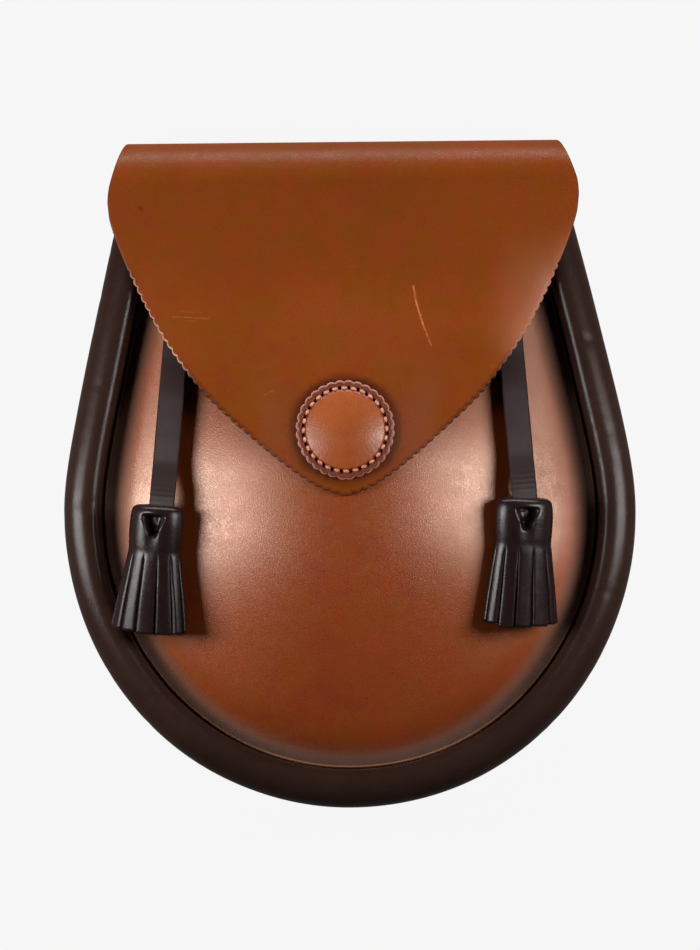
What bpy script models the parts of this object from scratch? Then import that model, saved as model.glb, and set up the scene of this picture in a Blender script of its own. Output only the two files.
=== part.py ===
"""A leather sporran pouch, lying on its back with its front up.

X runs across the pouch, Y runs up the pouch from its round bottom to the fold, and Z comes out of the front.
The origin is on the surface that the pouch lies on, at the middle of its length and width.
"""

import math

import bmesh
import bpy
from mathutils import Vector
from mathutils.geometry import delaunay_2d_cdt

# Outline of the pouch, out to the edge roll
BODY_HALF_WIDTH = 0.0900
WIDEST_Y = -0.0120
BOTTOM_Y = -0.1054
BOTTOM_FULLNESS = 2.03
SIDE_TAPER = 0.243
SIDE_BEND = 0.019
FOLD_TOP_Y = 0.1045
FOLD_TILT = 0.0107

# Leather and clearances
SHELL_THICKNESS = 0.0018
PANEL_THICKNESS = 0.0022
GUSSET_THICKNESS = 0.0016
STRAP_THICKNESS = 0.0020
CLEARANCE = 0.0003

# Depth of the pouch
FOLD_DEPTH = 0.0262
RIM_BOTTOM_HEIGHT = 0.0270
DOME_HEIGHT = 0.0216
DOME_POWER = 1.5
PANEL_DROP = 0.0036
BACK_INSET = 0.0020

# Edge roll
ROLL_RADIUS = 0.0060
ROLL_TOP_Y = 0.0880
ROLL_CLEARANCE = 0.0004

# Front panel and gusset
MOUTH_Y = 0.0800
FLANGE_REACH = 0.0036
GUSSET_TUCK = 0.0012
GUSSET_BULGE = 0.0026

# Flap
FLAP_HALF_WIDTH = 0.0742
FLAP_WIDEST_Y = 0.0860
FLAP_TIP_Y = -0.0077
FOLD_HALF_WIDTH = 0.0680
FLAP_LEAN = -0.0012
EDGE_GAP = 0.0004
STUD_GAP = 0.0030
SIDE_GAP = 0.0050
FOLLOW_WIDTH = 0.042
CLOSE_HEIGHT = 0.034
CLOSE_HALF_WIDTH = 0.026
CLOSE_FADE = 0.026
ROLL_SOFTNESS = 0.0008
TOOTH_PITCH = 0.00285
TOOTH_DEPTH = 0.0006
TEETH_TOP_Y = 0.0670

# Button and clasp
BUTTON_RADIUS = 0.0155
BUTTON_Y = 0.0135
BUTTON_RIM = 0.0018
BUTTON_CROWN = 0.0034
BUTTON_SCALLOPS = 32
SCALLOP_DEPTH = 0.0006
STUD_RADIUS = 0.0070

# Straps and tassels
STRAP_WIDTH = 0.0080
STRAP_TOP_Y = 0.0640
STRAP_LIFT = 0.0040
STRAP_RISE = 0.0140
TASSEL_LENGTH = 0.0400
HEAD_HALF_WIDTH = 0.0092
HEAD_HALF_DEPTH = 0.0058
HEAD_TOP_Y = -0.0090
TASSEL_STRIPS = 12
GROOVE_DEPTH = 0.0011
DIMPLE_DEPTH = 0.0022
DIMPLE_HALF_WIDTH = 0.0026
TASSEL_CLEARANCE = 0.0006

# Spacing of the mesh, and of the places between which a slope is measured
MEASURE_STEP = 0.0002
SHEET_SPACING = 0.0095
FOLD_STEPS = 9
RIM_STEPS = 30

# The flap's edge: height above its point and half width, as shares of the flap's own height and half width
FLAP_SHAPE = [
    # height, half_width
    (0.000, 0.000),
    (0.030, 0.105),
    (0.082, 0.209),
    (0.189, 0.377),
    (0.349, 0.589),
    (0.509, 0.740),
    (0.669, 0.853),
    (0.829, 0.943),
    (0.936, 0.989),
    (1.000, 1.000),
]

# Where each strap starts and where each tassel hangs: sides are shares of the body's half width
STRAPS = [
    # name, side_at_top, side_at_tassel, tassel_lean_in_degrees
    ("left", -0.570, -0.654, -5.4),
    ("right", 0.555, 0.609, -3.1),
]

# A tassel from the top of its head to the end of its strips, as shares of its length and of the head's half sizes
TASSEL_SHAPE = [
    # along, half_width, half_depth, groove, dimple
    (0.000, 0.62, 0.55, 0.0, 0.0),
    (0.035, 0.90, 0.85, 0.0, 0.2),
    (0.120, 1.00, 1.00, 0.0, 1.0),
    (0.240, 1.00, 1.00, 0.0, 0.9),
    (0.310, 0.98, 0.98, 0.0, 0.0),
    (0.370, 0.95, 0.93, 0.2, 0.0),
    (0.410, 1.02, 0.95, 1.0, 0.0),
    (0.700, 1.15, 0.93, 1.0, 0.0),
    (1.000, 1.28, 0.90, 1.0, 0.0),
]

# The gusset's wall between the back and the roll, as shares of its height and of its bulge
GUSSET_SHAPE = [
    # height, bulge
    (0.10, -0.15),
    (0.30, 0.70),
    (0.55, 1.00),
    (0.80, 0.55),
    (1.00, 0.00),
]


# Small helpers


def ease(share):
    """A smooth step from 0 to 1."""
    share = min(1.0, max(0.0, share))
    return share * share * (3 - 2 * share)


def smooth_curve(rows, x):
    """Read column 1 of a table at x in column 0, along a smooth curve through its rows."""
    last = len(rows) - 1
    i = max(0, min(last - 1, sum(row[0] <= x for row in rows) - 1))

    def slope(k):
        a, b = rows[max(0, k - 1)], rows[min(last, k + 1)]
        return (b[1] - a[1]) / (b[0] - a[0])

    (x0, y0), (x1, y1) = rows[i][:2], rows[i + 1][:2]
    span = x1 - x0
    t = (x - x0) / span
    rise = y0 * (1 + 2 * t) * (1 - t) ** 2 + y1 * t * t * (3 - 2 * t)
    return rise + span * (slope(i) * t * (1 - t) ** 2 + slope(i + 1) * t * t * (t - 1))


def resample(points, count):
    """Points spaced evenly along a polyline."""
    lengths = [0.0]
    for a, b in zip(points, points[1:]):
        lengths.append(lengths[-1] + (b - a).length)
    spaced = []
    k = 0
    for i in range(count + 1):
        goal = lengths[-1] * i / count
        while k < len(points) - 2 and lengths[k + 1] < goal:
            k += 1
        share = (goal - lengths[k]) / (lengths[k + 1] - lengths[k])
        spaced.append(points[k].lerp(points[k + 1], share))
    return spaced


def outward(points, i):
    """The plan direction out of an outline that runs up the pouch's right side, at point i."""
    along = points[min(i + 1, len(points) - 1)] - points[max(i - 1, 0)]
    return Vector((along.y, -along.x)).normalized()


# Form of the pouch


def side_half_width(y):
    """Half width of the body's outline above its widest level."""
    return BODY_HALF_WIDTH - SIDE_TAPER * (math.hypot(y - WIDEST_Y, SIDE_BEND) - SIDE_BEND)


def right_outline():
    """The body's right side in plan, from the middle of the bottom up to the fold."""
    steps = 90
    power = 2 / BOTTOM_FULLNESS
    points = []
    for i in range(steps):
        angle = math.pi / 2 * i / steps
        x = BODY_HALF_WIDTH * math.sin(angle) ** power
        y = WIDEST_Y - (WIDEST_Y - BOTTOM_Y) * math.cos(angle) ** power
        points.append(Vector((x, y)))
    for i in range(steps + 1):
        y = WIDEST_Y + (FOLD_TOP_Y - WIDEST_Y) * i / steps
        points.append(Vector((side_half_width(y), y)))
    return points


def right_edge(inset, top_y, count):
    """The body's right side moved inwards, from the bottom up to top_y, in even steps."""
    outline = right_outline()
    moved = [p - outward(outline, i) * inset for i, p in enumerate(outline)]
    moved[0].x = 0
    kept = [p for p in moved if p.y < top_y]
    above = moved[len(kept)]
    share = (top_y - kept[-1].y) / (above.y - kept[-1].y)
    kept.append(kept[-1].lerp(above, share))
    return resample(kept, count)


def whole_edge(inset, top_y, count):
    """The body's edge moved inwards, from the top left round the bottom to the top right, with outward directions."""
    right = right_edge(inset, top_y, count)
    half = [(p, outward(right, i)) for i, p in enumerate(right)]
    half[0] = (half[0][0], Vector((0, -1)))
    mirrored = [(Vector((-p.x, p.y)), Vector((-n.x, n.y))) for p, n in half[:0:-1]]
    return mirrored + half


FOLD_Y = FOLD_TOP_Y - FOLD_DEPTH / 2
RIM_TOP_HEIGHT = FOLD_DEPTH - SHELL_THICKNESS - ROLL_CLEARANCE - ROLL_RADIUS
PANEL_INSET = 2 * ROLL_RADIUS + CLEARANCE


def rim_height(y):
    """Height of the roll's centre line, which is deeper at the bottom of the pouch than at its mouth."""
    share = (y - BOTTOM_Y) / (FOLD_Y - BOTTOM_Y)
    return RIM_BOTTOM_HEIGHT + (RIM_TOP_HEIGHT - RIM_BOTTOM_HEIGHT) * share


def reach(x, y):
    """0 on the middle line of the front panel and 1 at its edge, squared."""
    if y < WIDEST_Y:
        across = x / (BODY_HALF_WIDTH - PANEL_INSET)
        down = (WIDEST_Y - y) / (WIDEST_Y - BOTTOM_Y - PANEL_INSET)
        return across**2 + down**2
    slant = math.hypot(1, SIDE_TAPER)
    return (x / (side_half_width(y) - PANEL_INSET * slant)) ** 2


def panel_height(x, y):
    """Middle of the front panel's leather, which is sewn in below the roll's centre line and swells like a bell."""
    fullness = 1 - ease(y / FOLD_Y)
    swell = max(0.0, 1 - reach(x, y)) ** DOME_POWER
    return rim_height(y) - PANEL_DROP + DOME_HEIGHT * fullness * swell


def flap_half_width(y):
    """Half width of the flap at height y on the front."""
    if y > FLAP_WIDEST_Y:
        share = (y - FLAP_WIDEST_Y) / (FOLD_TOP_Y - FLAP_WIDEST_Y)
        return FLAP_HALF_WIDTH - (FLAP_HALF_WIDTH - FOLD_HALF_WIDTH) * share**2
    share = (y - FLAP_TIP_Y) / (FLAP_WIDEST_Y - FLAP_TIP_Y)
    return FLAP_HALF_WIDTH * smooth_curve(FLAP_SHAPE, max(0.0, share))


def flap_edge_y(x):
    """Height of the flap's lower edge at x."""
    low, high = FLAP_TIP_Y, FLAP_WIDEST_Y
    for _ in range(20):
        middle = (low + high) / 2
        if flap_half_width(middle) < abs(x):
            low = middle
        else:
            high = middle
    return high


def flap_gap(x, y):
    """Room between the front panel and the flap, which lies close at its lower edge and stands clear at its sides."""
    above_edge = ease((y - flap_edge_y(x)) / CLOSE_HEIGHT)
    middle = EDGE_GAP + (STUD_GAP - EDGE_GAP) * above_edge
    towards_side = ease((abs(x) - CLOSE_HALF_WIDTH) / CLOSE_FADE)
    return middle + (SIDE_GAP - middle) * towards_side


def flap_height(x, y):
    """Middle of the flap's leather: over the panel, which it follows less and less towards its sides, and the roll."""
    followed_x = FOLLOW_WIDTH * math.tanh(x / FOLLOW_WIDTH)
    over_panel = panel_height(followed_x, y) + (PANEL_THICKNESS + SHELL_THICKNESS) / 2 + flap_gap(x, y)
    over_roll = rim_height(y) + ROLL_RADIUS + ROLL_CLEARANCE + SHELL_THICKNESS / 2
    return over_roll + ROLL_SOFTNESS * math.log1p(math.exp((over_panel - over_roll) / ROLL_SOFTNESS))


def slopes(middle, x, y):
    """How steeply a surface rises along X and along Y."""
    step = MEASURE_STEP
    along_x = (middle(x + step, y) - middle(x - step, y)) / (2 * step)
    along_y = (middle(x, y + step) - middle(x, y - step)) / (2 * step)
    return along_x, along_y


def face_height(middle, thickness, x, y):
    """Height of the face of a sheet, given the height of its middle."""
    along_x, along_y = slopes(middle, x, y)
    return middle(x, y) + thickness / 2 * math.sqrt(1 + along_x**2 + along_y**2)


def panel_top(x, y):
    return face_height(panel_height, PANEL_THICKNESS, x, y)


def flap_top(x, y):
    return face_height(flap_height, SHELL_THICKNESS, x, y)


def flap_bottom(x, y):
    return face_height(flap_height, -SHELL_THICKNESS, x, y)


def flap_middle_x(y):
    """The flap's middle line leans a little to one side as it comes down."""
    return FLAP_LEAN * (FOLD_Y - y) / (FOLD_Y - FLAP_TIP_Y)


# Making objects


def make_material(name, colour, roughness, metallic=0.0):
    material = bpy.data.materials.new(name)
    material.use_nodes = True
    shader = material.node_tree.nodes["Principled BSDF"]
    shader.inputs["Base Color"].default_value = (*colour, 1)
    shader.inputs["Roughness"].default_value = roughness
    shader.inputs["Metallic"].default_value = metallic
    return material


def add_object(name, data, material):
    data.materials.append(material)
    made = bpy.data.objects.new(name, data)
    bpy.context.scene.collection.objects.link(made)
    return made


def mesh_object(name, points, faces, material):
    """A mesh with its faces turned outwards, shaded smooth up to sharp edges."""
    mesh = bpy.data.meshes.new(name)
    mesh.from_pydata([tuple(p) for p in points], [], faces)
    shape = bmesh.new()
    shape.from_mesh(mesh)
    bmesh.ops.recalc_face_normals(shape, faces=shape.faces)
    shape.to_mesh(mesh)
    shape.free()
    mesh.shade_smooth()
    mesh.set_sharp_from_angle(angle=math.radians(40))
    return add_object(name, mesh, material)


def loft(name, rings, material):
    """A closed body through rings of points, with a fan to the middle of each end ring."""
    points = [p for ring in rings for p in ring]
    count = len(rings[0])
    faces = []
    for r in range(len(rings) - 1):
        for k in range(count):
            a, b = r * count + k, r * count + (k + 1) % count
            faces.append((a, b, b + count, a + count))
    for r in (0, len(rings) - 1):
        points.append(sum(rings[r], Vector()) / count)
        for k in range(count):
            faces.append((r * count + k, r * count + (k + 1) % count, len(points) - 1))
    return mesh_object(name, points, faces, material)


class Pattern:
    """A flat cutting pattern for a sheet of leather: an outline, with rows of points across it."""

    def __init__(self, outline):
        self.points = list(outline)
        self.outline = list(range(len(outline)))
        self.edges = []

    def row(self, xs, v, ends=()):
        """A row of points at height v, tied to outline points at its ends if it reaches them."""
        first = len(self.points)
        self.points += [Vector((x, v)) for x in xs]
        chain = list(range(first, len(self.points)))
        if ends:
            chain = [ends[0], *chain, ends[1]]
        self.edges += list(zip(chain, chain[1:]))

    def sheet(self, name, form, thickness, material):
        """Cut the pattern, bend each point into place with form, and give it its thickness."""
        flat, _, faces, *_ = delaunay_2d_cdt(self.points, self.edges, [self.outline], 1, 1e-7)
        made = mesh_object(name, [form(p.x, p.y) for p in flat], faces, material)
        solid = made.modifiers.new("Thickness", "SOLIDIFY")
        solid.thickness = thickness
        solid.offset = 0
        return made


def spread(half, spacing):
    """Places from -half to half, about spacing apart."""
    count = max(1, round(2 * half / spacing))
    return [-half + 2 * half * i / count for i in range(count + 1)]


# Pieces


def pinked_edge():
    """The flap's right edge from its widest level down to its point, cut in small teeth."""
    steps = 120
    smooth = []
    for i in range(steps + 1):
        y = FLAP_WIDEST_Y + (FLAP_TIP_Y - FLAP_WIDEST_Y) * i / steps
        smooth.append(Vector((flap_half_width(y), y)))
    length = sum((b - a).length for a, b in zip(smooth, smooth[1:]))
    teeth = round(length / TOOTH_PITCH)
    spaced = resample(smooth, 2 * teeth)
    cut = []
    for i, p in enumerate(spaced):
        depth = TOOTH_DEPTH if i % 2 and p.y < TEETH_TOP_Y else 0
        cut.append(p + outward(spaced, i) * depth)
    cut[-1].x = 0
    return cut


def make_back_and_flap(material):
    """The back, the fold over the top and the flap, in one piece of leather."""
    fold_radius = (flap_height(0, FOLD_Y) - SHELL_THICKNESS / 2) / 2
    fold_length = math.pi * fold_radius
    front_start = FOLD_Y + fold_length
    back = right_edge(BACK_INSET, FOLD_Y, RIM_STEPS)
    fold_widths = [
        (0.0, back[-1].x),
        (0.5, FOLD_HALF_WIDTH),
        (1.0, flap_half_width(FOLD_Y)),
    ]

    fold = []
    for i in range(1, FOLD_STEPS + 1):
        share = i / FOLD_STEPS
        fold.append(Vector((smooth_curve(fold_widths, share), FOLD_Y + fold_length * share)))
    flap = [Vector((p.x, front_start + FOLD_Y - p.y)) for p in pinked_edge()]
    right = back + fold + flap
    left = [Vector((-p.x, p.y)) for p in right[-2:0:-1]]
    pattern = Pattern(right + left)

    total = len(right) + len(left)
    margin = SHEET_SPACING / 2
    inside = SHEET_SPACING * 2
    for i in range(len(back) - 1, len(back) + len(fold)):
        half = right[i].x - margin
        pattern.row(spread(half, inside), right[i].y, (total - i, i))
    back_rows = 4
    for i in range(1, back_rows):
        y = BOTTOM_Y + (FOLD_Y - BOTTOM_Y) * i / back_rows
        pattern.row(spread(BODY_HALF_WIDTH / 2, inside), y)
    y = FOLD_Y - SHEET_SPACING
    while y > FLAP_TIP_Y + margin:
        half = flap_half_width(y) - margin
        if half > margin / 2:
            pattern.row(spread(half, SHEET_SPACING), front_start + FOLD_Y - y)
        y -= SHEET_SPACING

    def form(x, v):
        if v <= FOLD_Y:
            return Vector((x, v, SHELL_THICKNESS / 2))
        if v < front_start:
            radius = (flap_height(x, FOLD_Y) - SHELL_THICKNESS / 2) / 2
            angle = (v - FOLD_Y) / fold_radius
            z = SHELL_THICKNESS / 2 + radius * (1 - math.cos(angle))
            return Vector((x, FOLD_Y + (fold_radius - FOLD_TILT * x) * math.sin(angle), z))
        y = front_start + FOLD_Y - v
        x += flap_middle_x(y)
        return Vector((x, y, flap_height(x, y)))

    return pattern.sheet("back_and_flap", form, SHELL_THICKNESS, material)


def make_front_panel(material):
    """The domed front, up to its straight mouth edge under the flap."""
    right = right_edge(PANEL_INSET, MOUTH_Y, RIM_STEPS)
    left = [Vector((-p.x, p.y)) for p in right[:0:-1]]
    top = [Vector((x, MOUTH_Y)) for x in reversed(spread(right[-1].x, SHEET_SPACING)[1:-1])]
    pattern = Pattern(right + top + left)
    bottom_y = BOTTOM_Y + PANEL_INSET
    margin = SHEET_SPACING / 2
    y = MOUTH_Y - SHEET_SPACING
    while y > bottom_y + margin:
        edge = max((p for p in right if p.y < y), key=lambda p: p.y)
        half = edge.x - margin
        if half > margin:
            pattern.row(spread(half, SHEET_SPACING), y)
        y -= SHEET_SPACING
    return pattern.sheet(
        "front_panel", lambda x, y: Vector((x, y, panel_height(x, y))), PANEL_THICKNESS, material
    )


def gusset_profile(y):
    """The gusset's section at height y on the pouch: places out of the roll's centre line, and heights."""
    low = SHELL_THICKNESS + CLEARANCE + GUSSET_THICKNESS / 2
    high = rim_height(y) - ROLL_RADIUS - CLEARANCE
    middle = [
        Vector((FLANGE_REACH, low)),
        Vector((-GUSSET_TUCK / 2, low)),
    ]
    for share, bulge in GUSSET_SHAPE:
        middle.append(Vector((GUSSET_BULGE * bulge, low + (high - low) * share)))
    outer, inner = [], []
    for i, p in enumerate(middle):
        side = outward(middle, i) * GUSSET_THICKNESS / 2
        outer.append(p + side)
        inner.append(p - side)
    return outer + inner[::-1]


def make_gusset(material):
    """The wall between the back and the roll, swept round the pouch."""
    rings = []
    for p, n in whole_edge(ROLL_RADIUS, ROLL_TOP_Y, RIM_STEPS):
        section = gusset_profile(p.y)
        rings.append([Vector((p.x + n.x * s.x, p.y + n.y * s.x, s.y)) for s in section])
    return loft("gusset", rings, material)


def roll_line():
    """The centre line of the edge roll."""
    return [Vector((p.x, p.y, rim_height(p.y))) for p, _ in whole_edge(ROLL_RADIUS, ROLL_TOP_Y, RIM_STEPS)]


def make_edge_roll(material):
    """The padded roll round the sides and the bottom."""
    curve = bpy.data.curves.new("edge_roll", "CURVE")
    curve.dimensions = "3D"
    curve.bevel_depth = ROLL_RADIUS
    curve.bevel_resolution = 3
    curve.use_fill_caps = True
    curve.resolution_u = 1
    curve.render_resolution_u = 0
    line = roll_line()
    spline = curve.splines.new("POLY")
    spline.points.add(len(line) - 1)
    for point, place in zip(spline.points, line):
        point.co = (*place, 1)
    spline.use_smooth = True
    return add_object("edge_roll", curve, material)


def make_button(material):
    """A slightly domed round button with a scalloped edge, bent to the flap."""
    middle_x = flap_middle_x(BUTTON_Y)
    sides = 2 * BUTTON_SCALLOPS

    def ring(share, thickness):
        points = []
        for k in range(sides):
            angle = 2 * math.pi * k / sides
            cut = SCALLOP_DEPTH * (k % 2) * share**4
            radius = BUTTON_RADIUS * share - cut
            x = middle_x + radius * math.cos(angle)
            y = BUTTON_Y + radius * math.sin(angle)
            points.append(Vector((x, y, flap_top(x, y) + CLEARANCE + thickness)))
        return points

    rings = [
        ring(0.10, 0),
        ring(0.55, 0),
        ring(1.00, 0),
        ring(1.00, BUTTON_RIM * 0.7),
        ring(0.95, BUTTON_RIM),
        ring(0.60, (BUTTON_RIM + 2 * BUTTON_CROWN) / 3),
        ring(0.15, BUTTON_CROWN),
    ]
    return loft("button", rings, material)


def make_snap_stud(material):
    """The plain hidden clasp between the front panel and the flap."""
    middle_x = flap_middle_x(BUTTON_Y)
    sides = 16
    low, high = [], []
    for k in range(sides):
        angle = 2 * math.pi * k / sides
        x = middle_x + STUD_RADIUS * math.cos(angle)
        y = BUTTON_Y + STUD_RADIUS * math.sin(angle)
        low.append(Vector((x, y, panel_top(x, y) + CLEARANCE)))
        high.append(Vector((x, y, flap_bottom(x, y) - CLEARANCE)))
    return loft("snap_stud", [low, high], material)


ROLL_LINE = roll_line()


def cover(x, y):
    """Height of the front of the pouch at a place: the panel, or the roll beside it."""
    here = Vector((x, y))
    height = 0.0
    if reach(x, y) < 1:
        height = panel_top(x, y)
    for a, b in zip(ROLL_LINE, ROLL_LINE[1:]):
        start, run = a.xy, b.xy - a.xy
        share = min(1.0, max(0.0, (here - start).dot(run) / run.length_squared))
        away = (here - start - run * share).length
        if away < ROLL_RADIUS:
            crest = math.sqrt(ROLL_RADIUS**2 - away**2)
            height = max(height, a.z + (b.z - a.z) * share + crest)
    return height


def tassel_rings(side_x, lean):
    """A tassel's rings, seated on the front of the pouch, and the middle of the top of its head."""
    across = Vector((math.cos(lean), math.sin(lean), 0))
    down = Vector((math.sin(lean), -math.cos(lean), 0))
    end_y = HEAD_TOP_Y - TASSEL_LENGTH
    fall = (panel_height(side_x, end_y) - panel_height(side_x, HEAD_TOP_Y)) / TASSEL_LENGTH
    down = (down + Vector((0, 0, fall))).normalized()
    sideways, _ = slopes(panel_height, side_x, (HEAD_TOP_Y + end_y) / 2)
    across = (across + Vector((0, 0, sideways / 2))).normalized()
    up = across.cross(-down).normalized()
    rings = []
    for along, wide, deep, groove, dimple in TASSEL_SHAPE:
        middle = Vector((side_x, HEAD_TOP_Y, 0)) + down * TASSEL_LENGTH * along
        ring = []
        for strip in range(TASSEL_STRIPS):
            for offset, cut in ((-0.38, 0.0), (0.38, 0.0), (0.5, 1.0)):
                angle = 2 * math.pi * (strip + offset) / TASSEL_STRIPS
                depth = GROOVE_DEPTH * groove * cut
                u = math.cos(angle) * (HEAD_HALF_WIDTH * wide - depth)
                w = math.sin(angle) * (HEAD_HALF_DEPTH * deep - depth)
                if w > 0:
                    w -= DIMPLE_DEPTH * dimple * max(0.0, 1 - (u / DIMPLE_HALF_WIDTH) ** 2)
                ring.append(middle + across * u + up * w)
        rings.append(ring)
    lift = max(cover(p.x, p.y) - p.z for ring in rings for p in ring) + CLEARANCE
    for ring in rings:
        for p in ring:
            p.z += lift
    head = Vector((side_x, HEAD_TOP_Y, lift))
    return rings, head


def strap_rings(top_x, head):
    """A strap that starts on the front panel, stands off it and ends at the head of its tassel."""
    steps = 12
    start = Vector((top_x, STRAP_TOP_Y))
    end = Vector((head.x, head.y + TASSEL_CLEARANCE))
    run = (end - start).normalized()
    across = Vector((-run.y, run.x)) * STRAP_WIDTH / 2
    rings = []
    for i in range(steps + 1):
        middle = start.lerp(end, i / steps)
        lift = CLEARANCE + STRAP_LIFT * ease((middle - start).length / STRAP_RISE)
        to_head = ease(1 - (end - middle).length / STRAP_RISE)
        head_lift = head.z - STRAP_THICKNESS / 2 - panel_top(middle.x, middle.y)
        lift += (head_lift - lift) * to_head
        low, high = [], []
        for side in (-1, 1):
            p = middle + across * side
            z = panel_top(p.x, p.y) + lift
            low.append(Vector((p.x, p.y, z)))
            high.append(Vector((p.x, p.y, z + STRAP_THICKNESS)))
        rings.append(low + high[::-1])
    return rings


def main():
    for old in list(bpy.data.objects):
        bpy.data.objects.remove(old)

    tan = (0.27, 0.075, 0.022)
    dark = (0.030, 0.019, 0.016)
    make_back_and_flap(make_material("back_and_flap_leather", tan, 0.42))
    make_front_panel(make_material("front_panel_leather", (0.29, 0.085, 0.028), 0.45))
    make_gusset(make_material("gusset_leather", (0.060, 0.028, 0.018), 0.55))
    make_edge_roll(make_material("edge_roll_leather", dark, 0.38))
    make_button(make_material("button_leather", (0.33, 0.10, 0.03), 0.40))
    make_snap_stud(make_material("snap_stud_brass", (0.55, 0.40, 0.18), 0.35, 1.0))
    for name, side_at_top, side_at_tassel, lean in STRAPS:
        side_x = BODY_HALF_WIDTH * side_at_tassel
        rings, head = tassel_rings(side_x, math.radians(lean))
        loft(f"tassel_{name}", rings, make_material(f"tassel_{name}_leather", dark, 0.50))
        strap = strap_rings(BODY_HALF_WIDTH * side_at_top, head)
        loft(f"strap_{name}", strap, make_material(f"strap_{name}_leather", dark, 0.48))


main()
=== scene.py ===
"""The looks of a leather sporran pouch that lies on its back: its fine surfaces, its leathers and the studio.

X runs across the pouch, Y runs up it from its round bottom to the fold, and Z comes out of the front. Metres.
The forms follow the same sizes and formulas as the solids, on finer meshes.
"""

import math

import bmesh
import bpy
import numpy as np
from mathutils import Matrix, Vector
from mathutils.geometry import delaunay_2d_cdt
from mathutils.kdtree import KDTree


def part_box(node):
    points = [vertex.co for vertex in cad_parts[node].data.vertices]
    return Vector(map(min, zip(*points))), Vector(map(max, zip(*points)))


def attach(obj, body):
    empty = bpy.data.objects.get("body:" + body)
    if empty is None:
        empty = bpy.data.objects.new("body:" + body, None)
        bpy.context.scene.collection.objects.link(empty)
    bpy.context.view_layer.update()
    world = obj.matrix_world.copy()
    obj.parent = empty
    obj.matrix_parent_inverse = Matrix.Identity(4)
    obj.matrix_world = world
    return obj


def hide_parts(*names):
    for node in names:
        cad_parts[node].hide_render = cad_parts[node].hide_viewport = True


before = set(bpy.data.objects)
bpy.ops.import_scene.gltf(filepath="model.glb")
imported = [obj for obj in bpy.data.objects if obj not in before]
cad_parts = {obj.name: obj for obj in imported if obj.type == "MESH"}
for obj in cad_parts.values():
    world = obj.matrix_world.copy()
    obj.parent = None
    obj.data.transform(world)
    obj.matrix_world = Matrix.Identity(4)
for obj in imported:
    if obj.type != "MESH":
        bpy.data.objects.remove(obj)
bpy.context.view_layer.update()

# Outline of the pouch, out to the edge roll
BODY_HALF_WIDTH = 0.0900
WIDEST_Y = -0.0120
BOTTOM_Y = -0.1054
BOTTOM_FULLNESS = 2.03
SIDE_TAPER = 0.243
SIDE_BEND = 0.019
FOLD_TOP_Y = 0.1045
FOLD_TILT = 0.0107

# Leather and clearances
SHELL_THICKNESS = 0.0018
PANEL_THICKNESS = 0.0022
GUSSET_THICKNESS = 0.0016
STRAP_THICKNESS = 0.0020
CLEARANCE = 0.0003

# Depth of the pouch
FOLD_DEPTH = 0.0262
RIM_BOTTOM_HEIGHT = 0.0270
DOME_HEIGHT = 0.0216
DOME_POWER = 1.5
PANEL_DROP = 0.0036
BACK_INSET = 0.0020

# Edge roll
ROLL_RADIUS = 0.0060
ROLL_TOP_Y = 0.0880
ROLL_CLEARANCE = 0.0004
ROLL_LEAN = 0.0012

# Front panel and gusset
MOUTH_Y = 0.0800
FLANGE_REACH = 0.0036
GUSSET_BULGE = 0.0026

# Flap
FLAP_HALF_WIDTH = 0.0742
FLAP_WIDEST_Y = 0.0860
FLAP_TIP_Y = -0.0077
FOLD_HALF_WIDTH = 0.0680
FLAP_LEAN = -0.0012
EDGE_GAP = 0.0004
STUD_GAP = 0.0030
SIDE_GAP = 0.0050
FOLLOW_WIDTH = 0.042
CLOSE_HEIGHT = 0.034
CLOSE_HALF_WIDTH = 0.026
CLOSE_FADE = 0.026
ROLL_SOFTNESS = 0.0008
TOOTH_PITCH = 0.00285
TOOTH_DEPTH = 0.0006
TEETH_TOP_Y = 0.0670

# Button
BUTTON_RADIUS = 0.0155
BUTTON_Y = 0.0135
BUTTON_RIM = 0.0018
BUTTON_CROWN = 0.0034
BUTTON_SCALLOPS = 32
BUTTON_STITCHES = 28
SCALLOP_DEPTH = 0.0006

# Straps and tassels
STRAP_WIDTH = 0.0080
STRAP_TOP_Y = 0.0640
STRAP_LIFT = 0.0040
STRAP_RISE = 0.0140
TASSEL_LENGTH = 0.0400
HEAD_HALF_WIDTH = 0.0092
HEAD_HALF_DEPTH = 0.0058
HEAD_TOP_Y = -0.0090
TASSEL_STRIPS = 12
TASSEL_CLEARANCE = 0.0006

# Fine forms of the flap: its edge curls down, and its right side lifts
CURL_RIGHT = 0.0016
CURL_LEFT = 0.0006
CURL_REACH = 0.0032
SIDE_LIFT = 0.0009
SAG = 0.00016

# Fine forms of the front panel and the gusset
GROOVE_DEPTH = 0.0023
GROOVE_PLACE = 0.950
GROOVE_WIDTH = 0.075
LUMP_HEIGHT = 0.00022
WELT_DROP = 0.0021
CRUMPLE = 0.0004

# Fine forms of the straps and tassels
STRAP_FREE_LIFT = 0.0014
STRAP_IN_HEAD = 0.0050
STRAP_SWAY = 0.00015
WRINKLE_PITCH = 0.0016
WRINKLE_HEIGHT = 0.00009
TASSEL_DROOP = 0.030
INNER_STRIPS = 9
INNER_SIZE = 0.68
SLIT_DEPTH = 0.0030
HEAD_GAP = 0.00002

# Stitches
SEAM_PITCH = 0.0038
SEAM_GAP = 0.0008
SEAM_THREAD = 0.00036
LACE_THREAD = 0.00052
LACE_PLACE = 0.845

MEASURE_STEP = 0.0002

# The flap's edge: height above its point and half width, as shares of the flap's height and half width
FLAP_SHAPE = [
    # height, half_width
    (0.000, 0.000),
    (0.030, 0.105),
    (0.082, 0.209),
    (0.189, 0.377),
    (0.349, 0.589),
    (0.509, 0.740),
    (0.669, 0.853),
    (0.829, 0.943),
    (0.936, 0.989),
    (1.000, 1.000),
]

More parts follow.
